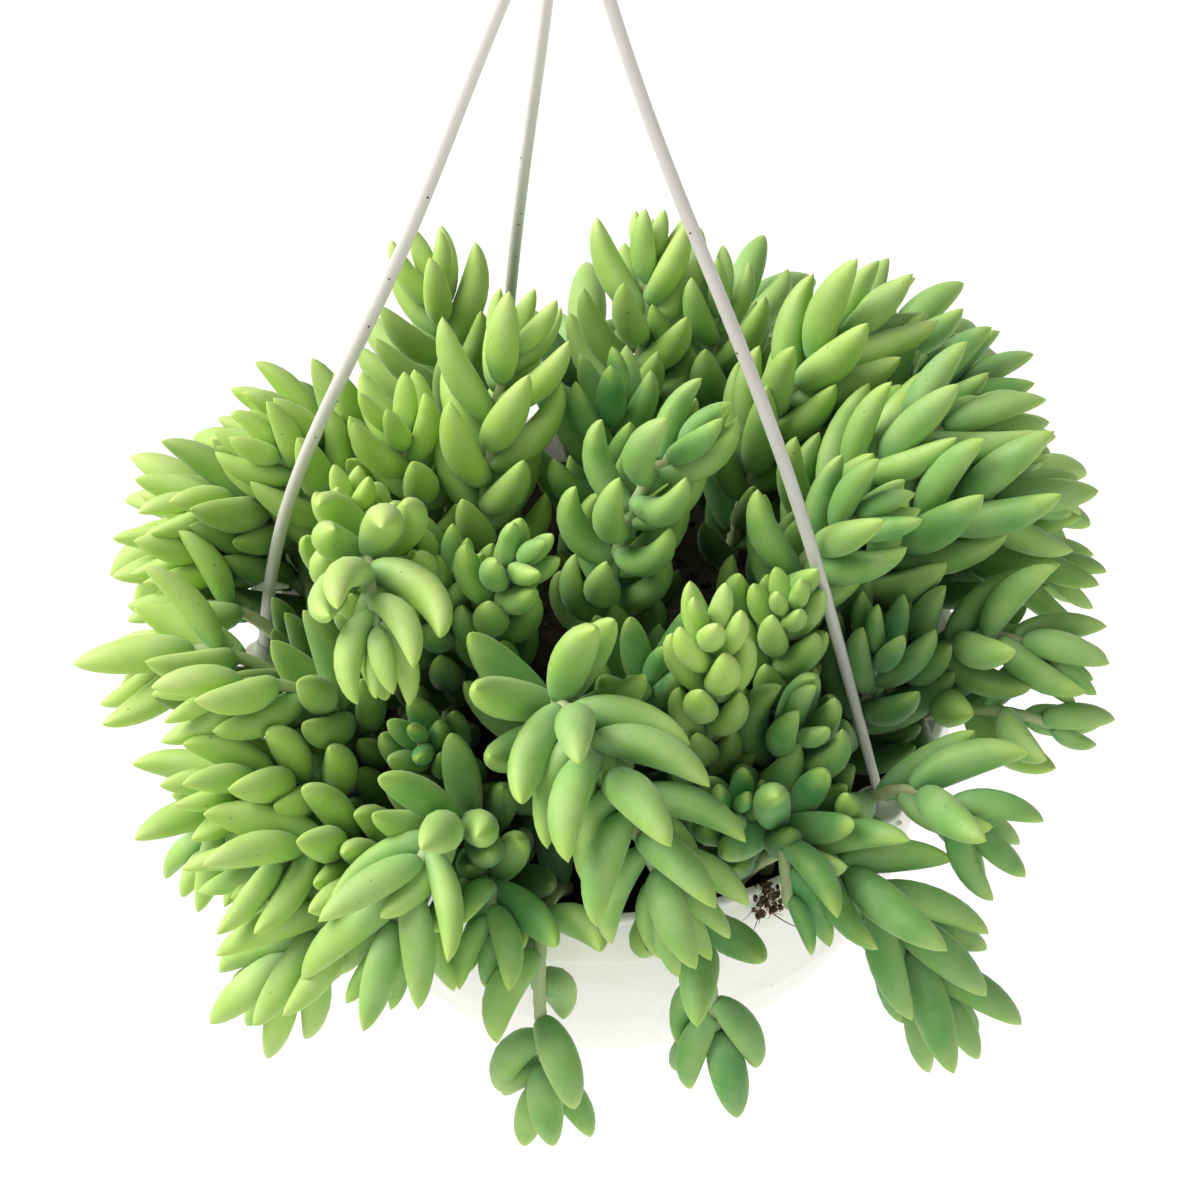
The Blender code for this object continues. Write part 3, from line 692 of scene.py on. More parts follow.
def ear_mesh(azimuth):
    """A rounded lug on the rim with a hole for the arm's peg. The hole sits a little outside its middle."""
    high = EAR_RISE
    low = high - 2.6 * MM
    outline = [(0.0, 0.0), (0.14, 0.28 * MM), (0.80, 0.28 * MM), (0.94, 0.05 * MM), (1.0, -0.5 * MM),
               (1.0, low - high + 0.5 * MM), (0.94, low - high), (0.0, low - high)]
    hole = at(azimuth, HOLE_CENTRE, RIM_Z)
    ear = at(azimuth, EAR_CENTRE, RIM_Z)
    hole_radius, ear_radius, sides = 2.4 * MM, 6.0 * MM, 40
    points, faces = lathe(outline, sides)
    placed = []
    for i, (_, _, height) in enumerate(points):
        share = outline[i % len(outline)][0]
        angle = 2.0 * math.pi * (i // len(outline)) / sides
        centre = hole.lerp(ear, share)
        radius = hole_radius + (ear_radius - hole_radius) * share
        placed.append((centre.x + radius * math.cos(angle), centre.y + radius * math.sin(angle),
                       RIM_Z + high + height))
    return placed, faces


def gusset_mesh(azimuth):
    """The small web under an ear that ties it to the collar."""
    out, side = at(azimuth, 1.0, 0.0), at(azimuth + 90.0, 1.0, 0.0)
    inner, outer = RIM_RADIUS - 2.0 * MM, RIM_RADIUS + 4.2 * MM
    corners = ((inner, 0.0), (outer, 0.0), (inner, -9.0 * MM))
    shape = bmesh.new()
    for sign in (-1.0, 1.0):
        for radius, height in corners:
            shape.verts.new(out * radius + side * sign * 0.8 * MM + rise(RIM_Z - 1.5 * MM + height))
    shape.verts.ensure_lookup_table()
    v = shape.verts
    shape.faces.new((v[0], v[1], v[2]))
    shape.faces.new((v[5], v[4], v[3]))
    for a, b in ((0, 1), (1, 2), (2, 0)):
        shape.faces.new((v[b], v[a], v[a + 3], v[b + 3]))
    bmesh.ops.recalc_face_normals(shape, faces=shape.faces)
    bmesh.ops.bevel(shape, geom=shape.edges[:], offset=0.3 * MM, segments=2, affect="EDGES")
    return taken(shape)


class BURRO_OT_pot(Operator):
    """The moulded pot with its collar, foot ring and three ears"""
    bl_idname = "burro.pot"
    bl_label = "Pot"

    def execute(self, context):
        parts = [lathe(list(reversed(pot_outline())), POT_SIDES)]
        for azimuth in EAR_AZIMUTHS.values():
            parts += [ear_mesh(azimuth), gusset_mesh(azimuth)]
        pot = new_piece("pot_moulded", *joined(*parts), pot_material())
        pot.data.set_sharp_from_angle(angle=math.radians(50.0))
        settle_piece(pot, "pot_plastic", "pot")
        return {"FINISHED"}


# ---------------------------------------------------------------- soil


def lump(centre, size, chance):
    """A small irregular crumb."""
    shape = bmesh.new()
    bmesh.ops.create_icosphere(shape, subdivisions=1, radius=size)
    stretch = Vector((chance.uniform(0.6, 1.3), chance.uniform(0.6, 1.3), chance.uniform(0.5, 1.0)))
    for vertex in shape.verts:
        vertex.co = vertex.co * chance.uniform(0.75, 1.2) * stretch + centre
    return taken(shape)


def soil_top():
    """The bed's rough top over a plain side and floor that follow the bowl's inside."""
    rings, sides = 40, 120
    points, faces = [rise(SOIL_Z)], []
    for i in range(1, rings + 1):
        for place in circle(SOIL_RADIUS * i / rings, 0.0, sides):
            coarse, fine = noise.noise(place * 45.0), noise.fractal(place * 160.0, 1.0, 2.0, 4)
            rough = fine * 1.8 * MM + coarse * 1.5 * MM
            points.append(place + rise(SOIL_Z + rough * (1.0 - (i / rings) ** 8)))
    inside = [(r - WALL - SOIL_GAP, h + WALL / 2.0) for r, h in bowl_side(14) if h < SOIL_Z - 6.0 * MM]
    floor = FLOOR_Z + SOIL_GAP
    for radius, height in inside:
        points += circle(radius, max(height, floor), sides)
    points.append(rise(floor))
    loops = rings + len(inside)
    for k in range(sides):
        j = (k + 1) % sides
        faces.append((0, 1 + k, 1 + j))
        for i in range(loops - 1):
            a = 1 + i * sides
            faces.append((a + k, a + sides + k, a + sides + j, a + j))
        a = 1 + (loops - 1) * sides
        faces.append((a + k, len(points) - 1, a + j))
    return points, faces


def crumbs():
    """Loose lumps over the bed."""
    chance = random.Random(SEED)
    parts = []
    for _ in range(CRUMB_COUNT):
        place = at(chance.uniform(0.0, 360.0), SOIL_RADIUS * 0.97 * math.sqrt(chance.random()), SOIL_Z)
        place += rise(chance.uniform(0.0, 1.2) * MM)
        parts.append(lump(place, chance.uniform(0.5, 1.6) * MM, chance))
    return parts


def root_hair(start, reach, sag, radius):
    """A thin root that hangs out and down from the spill."""
    path = []
    for share in (0.0, 0.2, 0.4, 0.6, 0.8, 1.0):
        path.append(start.lerp(start + reach, share) + rise(-sag * math.sin(math.pi * share) * MM))
    path = smooth_curve(path, 4)
    return tube_mesh(path, [radius * (1.0 - 0.6 * i / len(path)) for i in range(len(path))], 6)


def spill():
    """Crumbs matted with fine roots that have come over the rim."""
    chance = random.Random(SEED + 1)
    parts = []
    for _ in range(SPILL_COUNT):
        share = chance.random()
        azimuth = SPILL_AZIMUTH + chance.gauss(0.0, 1.1) * (0.5 + share)
        radius = RIM_RADIUS - 2.0 * MM + 2.6 * MM * min(1.0, 3.0 * share)
        place = at(azimuth, radius, RIM_Z + 0.6 * MM - 12.0 * MM * max(0.0, share - 0.25))
        parts.append(lump(place, chance.uniform(0.25, 0.8) * MM, chance))
        if chance.random() < SPILL_ROOT_SHARE:
            reach = Vector((chance.gauss(0.0, 1.6), chance.gauss(-0.8, 0.6), chance.gauss(-1.6, 1.2))) * MM
            parts.append(root_hair(place, reach, chance.uniform(0.1, 0.6), 0.10 * MM))
    for azimuth, drop, reach, sag, radius in LONG_ROOTS:
        start = at(azimuth, RIM_RADIUS + 0.3 * MM, RIM_Z - drop * MM)
        parts.append(root_hair(start, Vector(reach) * MM, sag, radius * MM))
    return parts


class BURRO_OT_soil(Operator):
    """The potting mix with loose crumbs, and a spill with fine roots over the rim"""
    bl_idname = "burro.soil"
    bl_label = "Soil"

    def execute(self, context):
        bed, over_rim = joined(soil_top(), *crumbs()), joined(*spill())
        soil = new_piece("potting_mix", *joined(bed, over_rim), soil_material(), root_material())
        use_second(soil, len(bed[1]))
        settle_piece(soil, "soil", "soil")
        return {"FINISHED"}


# ---------------------------------------------------------------- hanger


def arm_path(side, steps=48):
    """An arm's middle line from the hub to the top of its foot, as in the solids."""
    azimuth = EAR_AZIMUTHS[side]
    start = at(azimuth, ARM_TOP_RADIUS, JOIN_Z - ARM_TOP_DROP)
    end = at(azimuth, HOLE_CENTRE, RIM_Z + ARM_FOOT_TOP)
    out = at(azimuth, 1.0, 0.0)
    path = []
    for i in range(steps + 1):
        share = i / steps
        waves = enumerate(ARM_BOWS[side], 1)
        bow = MM * sum(size * math.sin(wave * math.pi * share) for wave, size in waves)
        path.append(start.lerp(end, share) + out * bow)
    return path


def arm_radius(side, share):
    """Thin at the hub, fullest half way, and slimmer again at the foot."""
    top, middle, foot = ARM_RADII[side]
    if share < 0.5:
        return (top + (middle - top) * share * 2.0) * MM
    return (middle + (foot - middle) * (share * 2.0 - 1.0) ** 2) * MM


def arm_mesh(side):
    """An arm with its foot disc and the peg that stands in the ear's hole."""
    azimuth = EAR_AZIMUTHS[side]
    path = arm_path(side)
    radii = [arm_radius(side, i / (len(path) - 1)) for i in range(len(path))]
    flare = [(0.01, 0.05), (5.4, 0.05), (5.4, 0.7), (5.0, 1.15), (3.9, 1.7), (2.7, 2.5), (2.0, 3.6), (1.6, 5.2),
             (1.0, 6.4), (0.01, 6.5)]
    disc = turned(flare, 32, at(azimuth, HOLE_CENTRE, RIM_Z + EAR_RISE))
    peg_path = [path[-1] - rise(drop * MM) for drop in (0.0, 4.5, 5.4, 7.4)]
    peg = tube_mesh(peg_path, [radius * MM for radius in (1.5, 1.5, 2.0, 1.0)], 16)
    return joined(tube_mesh(path, radii, 16, 0.92, at(azimuth, 1.0, 0.0)), disc, peg)


def fin_mesh(place, out, reach, tall, thick):
    """A pointed fin that stands out from an arm."""
    up = rise(1.0)
    side = out.cross(up).normalized()
    sides = 10
    shape = ((0.0, 1.0), (0.35, 0.72), (0.7, 0.34), (1.0, 0.06))
    points = []
    for share, height in shape:
        centre = place + out * reach * share - up * 0.18 * tall * share
        high, wide = tall * 0.5 * height, thick * 0.5 * (1.0 - 0.5 * share)
        for k in range(sides):
            turn = 2.0 * math.pi * k / sides
            points.append(centre + up * high * math.sin(turn) + side * wide * math.cos(turn))
    return points, bands(len(shape), sides) + caps(len(shape), sides)


def hook_path():
    """The stem, up from the hub, and the bend, over its top to an end that comes down, as in the solids."""
    base = JOIN_Z + HUB_HEIGHT / 2.0
    radius = HOOK_INNER + HOOK_ROD
    points = [rise(base), rise(base + HOOK_STRAIGHT), Vector((1.0 * MM, 0.0, base + HOOK_LEANT))]
    bend = [math.radians(BEND_START + BEND_SWEEP * i / BEND_STEPS) for i in range(BEND_STEPS + 1)]
    return points, [Vector((radius * math.cos(a), 0.0, radius * math.sin(a) - HOOK_INNER)) for a in bend]


def hook_mesh():
    """The hook on its stem, the hub and the three sockets under it."""
    straight, bend = hook_path()
    path = smooth_curve([*straight, *bend], 3)
    radii = [HOOK_ROD] * len(path)
    for i, share in enumerate((0.55, 0.8, 0.94)):
        radii[-1 - i] = HOOK_ROD * share
    outline = [(0.01, 0.0), (4.6, 0.0), (5.3, 0.4), (5.5, 1.0), (5.2, 2.6), (4.4, 4.6), (3.4, 6.8), (2.8, 8.2),
               (2.3, 9.2), (1.9, 9.6), (0.01, 9.6)]
    hub = turned(outline, 48, rise(JOIN_Z + 0.3 * MM))
    sockets = []
    for azimuth in EAR_AZIMUTHS.values():
        way = [at(azimuth, r * MM, JOIN_Z + h * MM) for r, h in ((2.6, 3.0), (3.2, -0.5), (3.9, -3.5))]
        sockets.append(tube_mesh(way, [2.1 * MM, 2.1 * MM, 1.7 * MM], 16))
    return joined(tube_mesh(path, radii, 20), hub, *sockets)


class BURRO_OT_hanger(Operator):
    """The three arms with their feet, and the hub with its hook"""
    bl_idname = "burro.hanger"
    bl_label = "Hanger"

    def execute(self, context):
        plastic, dark = hanger_material(), speck_material()
        chance = random.Random(SEED + 1)
        for side in SIDES:
            path = arm_path(side)
            parts = [arm_mesh(side)]
            if side == "left":
                out = at(EAR_AZIMUTHS[side], 1.0, 0.0)
                root = next(p for p in path if p.z < RIM_Z + ARM_FOOT_TOP + BARB_HEIGHT)
                for sign, reach, tall, thick in ARM_FINS:
                    parts.append(fin_mesh(root, out * sign, reach * MM, tall * MM, thick * MM))
            plain = sum(len(faces) for _, faces in parts)
            for _ in range(SPECKS_ON_ARM):
                i = chance.randrange(8, len(path) - 8)
                turn = chance.uniform(-150.0, -30.0)
                on_side = at(turn, arm_radius(side, i / (len(path) - 1)) * 0.97, 0.0)
                parts.append(lump(path[i] + on_side, SPECK_SIZE, chance))
            arm = new_piece(f"arm_{side}", *joined(*parts), plastic, dark)
            use_second(arm, plain)
            arm.data.set_sharp_from_angle(angle=math.radians(60.0))
            settle_piece(arm, "hanger_plastic", f"hanger_arm_{side}")
        hook = new_piece("hook_and_hub", *hook_mesh(), plastic)
        hook.data.set_sharp_from_angle(angle=math.radians(50.0))
        settle_piece(hook, "hanger_plastic", "hanger_hook")
        return {"FINISHED"}


# ---------------------------------------------------------------- shoots


def shoot_path(root, crest, tip, steps=72):
    """Points along the parabola that leaves the root, is at the crest half way and ends at the tip."""
    pull = 2.0 * crest - 0.5 * (root + tip)
    return [root.lerp(pull, i / steps).lerp(pull.lerp(tip, i / steps), i / steps) for i in range(steps + 1)]


class Stem:
    """A shoot's middle line, up to where the last leaves reach the tip, with an untwisted side direction."""

    def __init__(self, row):
        self.name, root, crest, tip, self.bare, habit, self.sun = row
        self.habit = HABITS[habit]
        start = Vector((root[0] * MM, root[1] * MM, SOIL_Z - 1.0 * MM))
        path = shoot_path(start, rim(*crest), rim(*tip))
        while (path[-1] - rim(*tip)).length < self.habit.reach * MM:
            path.pop()
        self.points = np.array(path)
        steps = np.linalg.norm(np.diff(self.points, axis=0), axis=1)
        self.reach = np.concatenate([[0.0], np.cumsum(steps)])
        self.length = float(self.reach[-1])
        ahead = np.gradient(self.points, axis=0)
        self.ahead = ahead / np.linalg.norm(ahead, axis=1)[:, None]
        side = Vector(self.ahead[0]).orthogonal().normalized()
        sides = []
        for direction in self.ahead:
            direction = Vector(direction)
            side = (side - direction * side.dot(direction)).normalized()
            sides.append(side.copy())
        self.side = np.array(sides)

    def frame_at(self, distance):
        """(point, direction ahead, side, other side) at a distance along the stem."""
        def read(values):
            return Vector([float(np.interp(distance, self.reach, values[:, k])) for k in range(3)])
        ahead = read(self.ahead).normalized()
        side = read(self.side)
        side = (side - ahead * side.dot(ahead)).normalized()
        return read(self.points), ahead, side, ahead.cross(side)

    def radius_at(self, distance):
        """The stem's radius, which shrinks evenly."""
        return STEM_LOW + (STEM_HIGH - STEM_LOW) * distance / self.length


Leaf = namedtuple("Leaf", "shoot base ahead inward across length width curl lean sun deep")


def leaves_of(index, stem, chance):
    """The shoot's leaves as they grow: a golden-angle spiral, wide apart low down and closed at the tip."""
    habit = stem.habit
    scale = leaves_set().scale
    turn = chance.uniform(0.0, 2.0 * math.pi)
    distance = stem.length * stem.bare * habit.start
    made = []
    while distance < stem.length:
        left = (stem.length - distance) / MM
        age = min(1.0, left / habit.young)
        lowness = max(0.0, 1.0 - distance / (stem.length * (stem.bare + LOW_STRETCH)))
        size = (habit.least + (1.0 - habit.least) * age ** 0.75) * (1.0 - LOW_SMALLER * lowness) * scale
        size *= chance.uniform(*SIZE_SPAN)
        spread = YOUNG_SPREAD + (habit.spread - YOUNG_SPREAD) * age ** 0.65
        spread = math.radians(spread + chance.gauss(0.0, ANGLE_WANDER))
        curl = YOUNG_CURL + (habit.curl - YOUNG_CURL) * age ** 0.5
        curl = math.radians(curl + chance.gauss(0.0, ANGLE_WANDER))
        turn += GOLDEN_ANGLE + chance.gauss(0.0, TURN_WANDER)
        place, ahead, side, other = stem.frame_at(distance)
        out = side * math.cos(turn) + other * math.sin(turn)
        direction = ahead * math.cos(spread) + out * math.sin(spread)
        inward = ahead * math.sin(spread) - out * math.cos(spread)
        width = habit.width * size ** 0.8 * chance.uniform(*WIDTH_SPAN) * MM
        # Inside the rim, leaves low over the soil get a smaller sun share and more of the inner green: painted
        # shade.
        raised = 1.0
        if place.xy.length < RIM_RADIUS:
            raised = min(1.0, max(0.0, (place.z - SOIL_Z) / FULL_SUN_HEIGHT))
        base = place + out * stem.radius_at(distance) * BASE_IN_STEM
        lean = chance.gauss(0.0, LEAN_WANDER)
        sun = min(1.0, max(0.0, stem.sun * raised + chance.gauss(0.0, SUN_WANDER)))
        made.append(Leaf(index, base, direction, inward, direction.cross(inward),
                         habit.length * size * MM, width, curl, lean, sun, (1.0 - raised) ** 1.25))
        distance += habit.spacing * MM * (habit.crowd + (1.0 - habit.crowd) * age) * (1.0 + LOW_WIDER * lowness)
    return made


def leaf_profile(along):
    """Half width against the fullest, from a narrow base to a pointed tip."""
    def raw(u):
        return (u + LEAF_BASE) ** LEAF_SWELL * (1.0 - u) ** LEAF_TAPER
    fullest = max(raw(u / 200.0) for u in range(200))
    return raw(np.asarray(along)) / fullest


class Canopy:
    """All leaves as arrays, so that they can settle and be drawn together."""

    def __init__(self, leaves):
        self.shoot = np.array([leaf.shoot for leaf in leaves])
        self.base = np.array([leaf.base for leaf in leaves])
        self.rest = np.array([[leaf.ahead, leaf.inward, leaf.across] for leaf in leaves])
        self.length, self.width, self.curl, self.lean, self.sun, self.deep = (
            np.array([getattr(leaf, field) for leaf in leaves])
            for field in ("length", "width", "curl", "lean", "sun", "deep"))
        self.turn = np.zeros((len(leaves), 3))

    def axes(self):
        """Each leaf's three directions after its turn (Rodrigues' formula)."""
        angle = np.linalg.norm(self.turn, axis=1)
        axis = self.turn / np.maximum(angle, 1e-9)[:, None]
        cos, sin = np.cos(angle)[:, None, None], np.sin(angle)[:, None, None]
        axis = axis[:, None, :]
        along = (self.rest * axis).sum(2, keepdims=True)
        return self.rest * cos + np.cross(axis, self.rest) * sin + axis * along * (1.0 - cos)

    def centres(self, along):
        """Places on each leaf's middle line, one for each share of its length, and the normals there."""
        axes = self.axes()
        ahead, inward, across = axes[:, 0, None], axes[:, 1, None], axes[:, 2, None]
        curl = np.maximum(self.curl, 1e-3)[:, None, None]
        along = np.asarray(along)[None, :, None]
        bend = curl * along
        length = self.length[:, None, None]
        forward, aside = np.sin(bend) / curl, (1.0 - np.cos(bend)) / curl
        place = self.base[:, None] + length * (forward * ahead + aside * inward
                                               + self.lean[:, None, None] * along ** 2 * across)
        return place, np.cos(bend) * inward - np.sin(bend) * ahead, across


def obstacles(stems):
    """Fixed spheres (place, radius, shoot) along the stems, the arms and the openings before the front feet."""
    found = []
    for index, stem in enumerate(stems):
        for distance in np.arange(0.0, stem.length, STEM_STEP):
            found.append((stem.frame_at(distance)[0], stem.radius_at(distance), index))
    for side in SIDES:
        path = arm_path(side, 100)
        found += [(place, ARM_CLEARANCE, -1) for place in path]
        if side != "back":
            for reach in OPENING_REACHES:
                found.append((path[-1] + Vector(OPENING) * reach * MM, OPENING_RADIUS, -1))
    return found


def pushed_from_pot(place, radius):
    """How far to move each sphere so that it clears the soil, the rim and the outside of the pot."""
    push = np.zeros_like(place)
    flat = np.hypot(place[..., 0], place[..., 1])
    out = place[..., :2] / np.maximum(flat, 1e-6)[..., None]
    height = place[..., 2] - RIM_Z
    inside = flat < RIM_RADIUS - WALL - 1.0 * MM
    depth = (SOIL_Z - RIM_Z) + 1.0 * MM + 0.8 * radius - height
    push[..., 2] += np.where(inside & (depth > 0.0), depth, 0.0)
    middle = RIM_RADIUS - WALL / 2.0
    gap = np.hypot(flat - middle, height)
    near = (height > 0.0) & (gap < radius + LIP_CLEARANCE)
    amount = np.where(near, (radius + LIP_CLEARANCE - gap) / np.maximum(gap, 1e-6), 0.0)
    push[..., 2] += amount * height
    push[..., :2] += (amount * (flat - middle))[..., None] * out
    wall = np.where(height > -COLLAR_HEIGHT, RIM_RADIUS,
                    BOWL_RADIUS - BOWL_SLOPE * np.maximum(-height - COLLAR_HEIGHT, 0.0))
    beside = (height <= 0.0) & ~inside & (flat < wall + radius)
    push[..., :2] += np.where(beside, wall + radius - flat, 0.0)[..., None] * out
    return push


def touching_pairs(places, radii, shoots, leaf_of, margin):
    """Index pairs of spheres that could meet, with the leaf spheres first in the arrays."""
    tree = KDTree(len(places))
    for i, place in enumerate(places):
        tree.insert(place, i)
    tree.balance()
    first, second = [], []
    widest = float(radii.max())
    movable = int((leaf_of >= 0).sum())
    for i in range(movable):
        for _, j, gap in tree.find_range(places[i], float(radii[i]) + widest + margin):
            if gap > radii[i] + radii[j] + margin or j <= i and leaf_of[j] >= 0 or leaf_of[i] == leaf_of[j]:
                continue
            if leaf_of[j] < 0 and shoots[j] == shoots[i]:
                continue
            first.append(i)
            second.append(j)
    return np.array(first), np.array(second)


def settle(canopy, stems):
    """Turns the leaves aside, round by round, away from each other and from everything that is fixed.

    canopy.depth is then how deep each leaf still presses into another sphere.
    """
    values = leaves_set()
    count, parts = len(canopy.base), len(SPHERES)
    radii = canopy.width[:, None] * 0.5 * leaf_profile(SPHERES)[None] * SPHERE_FIT
    fixed = obstacles(stems)
    fixed_places = np.array([place for place, _, _ in fixed])
    all_radii = np.concatenate([radii.ravel(), [radius for _, radius, _ in fixed]])
    shoots = np.concatenate([np.repeat(canopy.shoot, parts), [shoot for _, _, shoot in fixed]])
    leaf_of = np.concatenate([np.repeat(np.arange(count), parts), -np.ones(len(fixed), int)])
    for step in range(values.rounds):
        leaf_places = canopy.centres(SPHERES)[0]
        places = np.concatenate([leaf_places.reshape(-1, 3), fixed_places])
        if step % ROUNDS_TO_A_LOOKUP == 0:
            first, second = touching_pairs(places, all_radii, shoots, leaf_of, PAIR_MARGIN)
        apart = places[first] - places[second]
        gap = np.maximum(np.linalg.norm(apart, axis=1), 1e-6)
        overlap = np.maximum(all_radii[first] + all_radii[second] - gap, 0.0)
        share = np.where(leaf_of[second] >= 0, 0.5, 1.0)
        shift = apart / gap[:, None] * (overlap * share)[:, None]
        push = np.zeros_like(places)
        np.add.at(push, first, shift)
        np.add.at(push, second, -shift)
        push = push[:count * parts].reshape(count, parts, 3) + pushed_from_pot(leaf_places, radii)
        arm = leaf_places - canopy.base[:, None]
        turning = np.cross(arm, push).sum(1) / (arm ** 2).sum(2).sum(1)[:, None]
        canopy.turn = canopy.turn * TURN_KEPT + turning * TURN_TAKEN
        angle = np.linalg.norm(canopy.turn, axis=1)
        canopy.turn *= np.minimum(1.0, values.give / np.maximum(angle, 1e-9))[:, None]
    canopy.depth = np.zeros(count)
    np.maximum.at(canopy.depth, leaf_of[first], overlap)
    movable = leaf_of[second] >= 0
    np.maximum.at(canopy.depth, leaf_of[second][movable], overlap[movable])


def parted(canopy):
    """Which leaves lie before the two front feet or the spilt soil, where the plant is parted."""
    places = canopy.centres(SPHERES)[0]
    radii = canopy.width[:, None] * 0.5 * leaf_profile(SPHERES)[None]
    out = np.array(OPENING)
    points = [at(SPILL_AZIMUTH, RIM_RADIUS + 1.0 * MM, RIM_Z - reach * MM) for reach in (0.0, 5.0)]
    for side in ("left", "right"):
        points += arm_path(side)[-1:-10:-3]
    found = np.zeros(len(canopy.base), bool)
    for point in points:
        away = places - np.array(point)
        ahead = (away * out).sum(2)
        aside = np.linalg.norm(away - ahead[..., None] * out, axis=2)
        found |= ((ahead > OPENING_DEPTH) & (aside < radii + OPENING_MARGIN)).any(1)
    return found


def leaf_vertices(canopy, chosen):
    """(points, faces, attributes) of the chosen leaves as one mesh."""
    values = leaves_set()
    sides = values.sides
    angles = 2.0 * math.pi * np.arange(sides) / sides
    place, normal, across = canopy.centres(LEAF_RINGS)
    tip = canopy.centres([LEAF_TIP])[0][chosen]
    place, normal, across = place[chosen], normal[chosen], across[chosen]
    half = canopy.width[chosen, None] * 0.5 * leaf_profile(LEAF_RINGS)[None]
    thick = np.where(np.sin(angles) > 0.0, values.inner, values.outer)
    ring = (half[..., None] * np.cos(angles))[..., None] * across[:, :, None, :]
    ring = ring + (half[..., None] * np.sin(angles) * thick)[..., None] * normal[:, :, None, :]
    body = (place[:, :, None, :] + ring).reshape(len(tip), -1, 3)
    points = np.concatenate([body, tip, place[:, :1]], axis=1)
    each = points.shape[1]
    rings = len(LEAF_RINGS)
    faces = bands(rings, sides)
    top = (rings - 1) * sides
    faces += [(top + k, top + (k + 1) % sides, rings * sides) for k in range(sides)]
    faces += [((k + 1) % sides, k, rings * sides + 1) for k in range(sides)]
    all_faces = [tuple(i + n * each for i in face) for n in range(len(tip)) for face in faces]
    along = np.concatenate([np.repeat(LEAF_RINGS, sides), [1.0, 0.0]])
    margin = np.concatenate([np.tile(np.abs(np.cos(angles)) ** EDGE_POWER, rings), [1.0, 0.0]])
    data = {"along": np.tile(along, len(tip)), "margin": np.tile(margin, len(tip)),
            "sun": np.repeat(canopy.sun[chosen], each), "deep": np.repeat(canopy.deep[chosen], each)}
    return points.reshape(-1, 3), all_faces, data


def stem_mesh(stem):
    """The stem, slightly knobbly where leaves join it."""
    path, radii = [], []
    for i, distance in enumerate(np.linspace(0.0, stem.length, STEM_RINGS)):
        path.append(stem.frame_at(distance)[0])
        radii.append(stem.radius_at(distance) * (1.0 + STEM_KNOB * (i % 2)))
    radii[-1] *= 0.5
    return tube_mesh(path, radii, STEM_SIDES)


class BURRO_OT_shoots(Operator):
    """Every shoot: a stem with its leaves, settled against the others"""
    bl_idname = "burro.shoots"
    bl_label = "Shoots"

    def execute(self, context):
        stems = [Stem(row) for row in SHOOTS]
        leaves = []
        for index, stem in enumerate(stems):
            leaves += leaves_of(index, stem, random.Random(SEED * 100 + index))
        canopy = Canopy(leaves)
        settle(canopy, stems)
        kept = (canopy.depth < MOST_PRESS * canopy.width) & ~parted(canopy)
        leaf_look, stem_look = leaf_material(), stem_material()
        stem_along = np.repeat(np.linspace(0.0, 1.0, STEM_RINGS), STEM_SIDES)
        for index, stem in enumerate(stems):
            chosen = np.nonzero((canopy.shoot == index) & kept)[0]
            leaf_points, leaf_faces, data = leaf_vertices(canopy, chosen)
            points, faces = joined((leaf_points.tolist(), leaf_faces), stem_mesh(stem))
            piece = new_piece(f"shoot_leafy_{stem.name}", points, faces, leaf_look, stem_look)
            use_second(piece, len(leaf_faces))
            for name, values in data.items():
                on_stem = stem_along if name == "along" else np.zeros(len(stem_along))
                values = np.concatenate([values, on_stem]).astype(np.float32)
                piece.data.attributes.new(name, "FLOAT", "POINT").data.foreach_set("value", values)
            settle_piece(piece, "leaves", f"shoot_{stem.name}")
        return {"FINISHED"}


# ---------------------------------------------------------------- stage


def soft_sun(name, source, spread, power, colour):
    """A far light, `spread` degrees wide, seen in the direction of `source`."""
    light = bpy.data.lights.new(name, "SUN")
    light.angle = math.radians(spread)
    light.energy = power
    light.color = colour
    made = bpy.data.objects.new(name, light)
    made.rotation_euler = Vector(source).to_track_quat("Z", "Y").to_euler()
    bpy.context.scene.collection.objects.link(made)


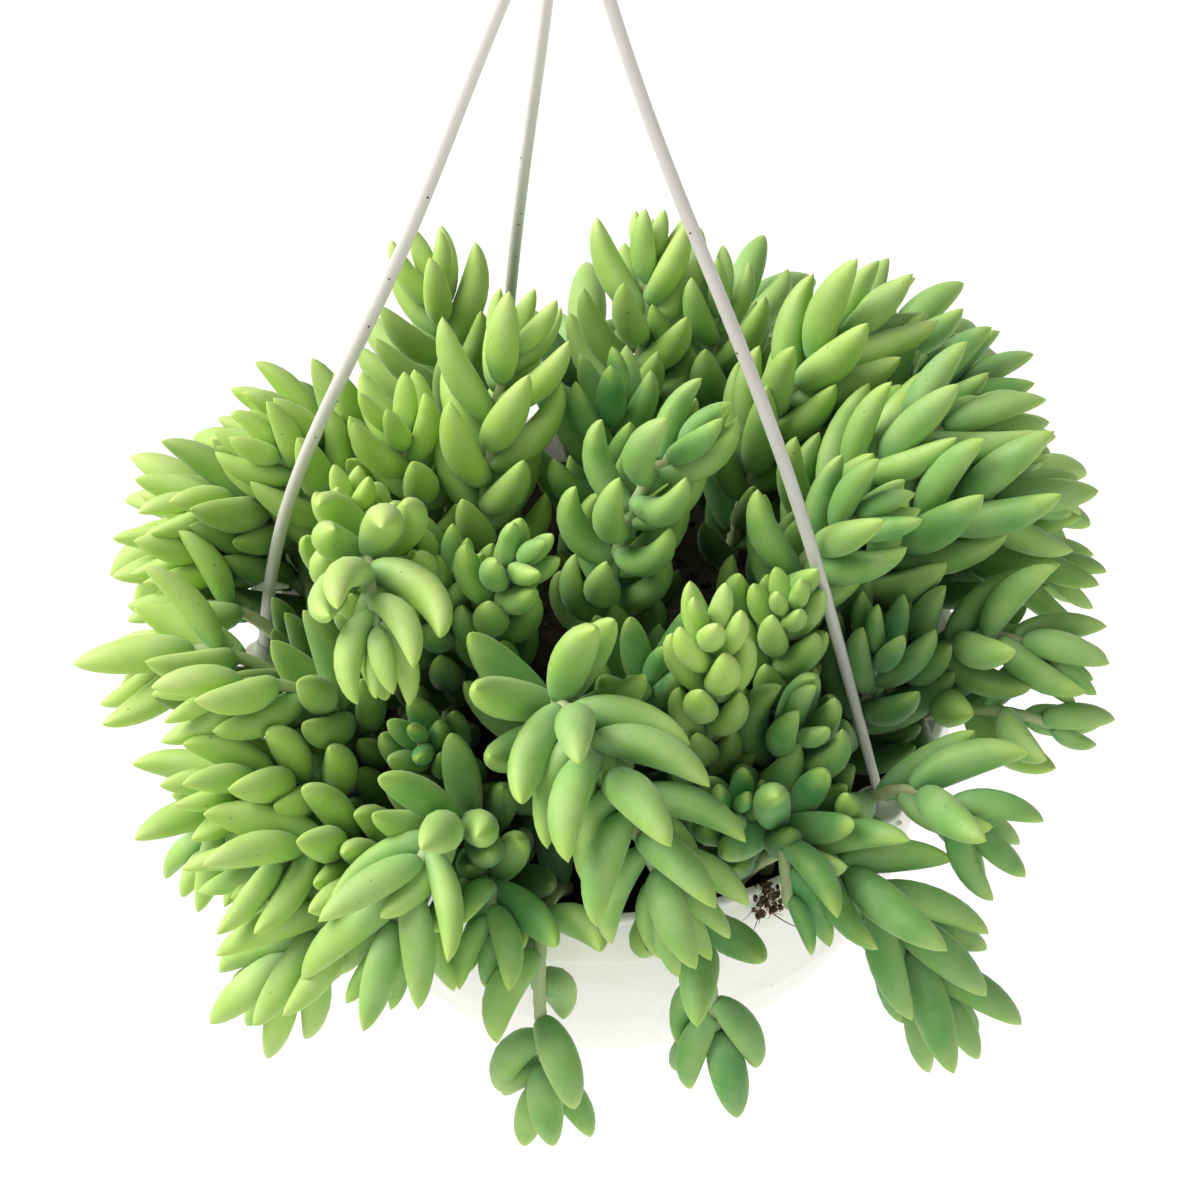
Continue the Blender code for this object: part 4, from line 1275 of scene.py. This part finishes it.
class BURRO_OT_stage(Operator):
    """A pale floor, soft light and the camera"""
    bl_idname = "burro.stage"
    bl_label = "Stage"

    def execute(self, context):
        scene = context.scene
        values = scene.burro_stage
        level = POT_LOW.z - values.floor_drop
        corners = [(x * FLOOR_HALF, y * FLOOR_HALF, level) for x, y in ((-1, -1), (1, -1), (1, 1), (-1, 1))]
        floor = new_piece("floor", corners, [(0, 1, 2, 3)])
        made, tree, shader = new_material("pale_floor", 0.9, 0.1)
        shade = mixed(tree, noise_at(tree, 2.0), (0.93, 0.93, 0.93), (0.95, 0.95, 0.95))
        dress(tree, shader, shade)
        floor.data.materials.append(made)
        world = bpy.data.worlds.new("even_light")
        world.use_nodes = True
        sky = world.node_tree.nodes["Background"]
        sky.inputs["Color"].default_value = (0.93, 0.98, 1.0, 1.0)
        sky.inputs["Strength"].default_value = values.sky
        scene.world = world
        soft_sun("key", KEY_FROM, KEY_WIDTH, values.key, (1.0, 0.975, 0.92))
        soft_sun("fill", FILL_FROM, FILL_WIDTH, values.key * FILL_SHARE, (1.0, 1.0, 1.0))
        self.place_camera(scene, values)
        scene.view_settings.view_transform = "Standard"
        return {"FINISHED"}

    def place_camera(self, scene, values):
        """Looks down at the rim's centre, set a little off it and leaning, as a hand-held camera would."""
        ahead = Vector((0.0, math.cos(values.pitch), -math.sin(values.pitch)))
        right = Vector((1.0, 0.0, 0.0))
        up = right.cross(ahead)
        aside = right * AIM_RIGHT * MM + up * AIM_UP * MM
        lean_right = right * math.cos(values.roll) - up * math.sin(values.roll)
        lean_up = up * math.cos(values.roll) + right * math.sin(values.roll)
        camera = bpy.data.cameras.new("camera")
        camera.lens = values.lens
        camera.sensor_width = 36.0
        camera.clip_start = 0.01
        made = bpy.data.objects.new("camera", camera)
        turn = Matrix((lean_right, lean_up, -ahead)).transposed().to_4x4()
        place = rise(RIM_Z) - ahead * values.distance + aside
        made.matrix_world = Matrix.Translation(place) @ turn
        scene.collection.objects.link(made)
        scene.camera = made


class BURRO_PT_panel(Panel):
    """A button for each group of pieces, and the values that they are made from"""
    bl_idname = "BURRO_PT_panel"
    bl_label = "Burro's Tail"
    bl_space_type = "VIEW_3D"
    bl_region_type = "UI"
    bl_category = "Burro's Tail"

    def draw(self, context):
        for operator in OPERATORS:
            self.layout.operator(operator.bl_idname)
        for group in GROUPS:
            values = getattr(context.scene, group)
            box = self.layout.box()
            for name in values.__annotations__:
                box.prop(values, name)


GROUPS = {"burro_leaves": BURRO_PG_leaves, "burro_colours": BURRO_PG_colours, "burro_stage": BURRO_PG_stage}
OPERATORS = (BURRO_OT_pot, BURRO_OT_soil, BURRO_OT_hanger, BURRO_OT_shoots, BURRO_OT_stage)


def register():
    for name, group in GROUPS.items():
        bpy.utils.register_class(group)
        setattr(bpy.types.Scene, name, PointerProperty(type=group))
    for item in (*OPERATORS, BURRO_PT_panel):
        bpy.utils.register_class(item)


def unregister():
    for item in reversed((*OPERATORS, BURRO_PT_panel)):
        bpy.utils.unregister_class(item)
    for name, group in GROUPS.items():
        delattr(bpy.types.Scene, name)
        bpy.utils.unregister_class(group)


def main():
    register()
    bpy.ops.burro.pot()
    bpy.ops.burro.soil()
    bpy.ops.burro.hanger()
    bpy.ops.burro.shoots()
    bpy.ops.burro.stage()


if __name__ == "__main__":
    main()
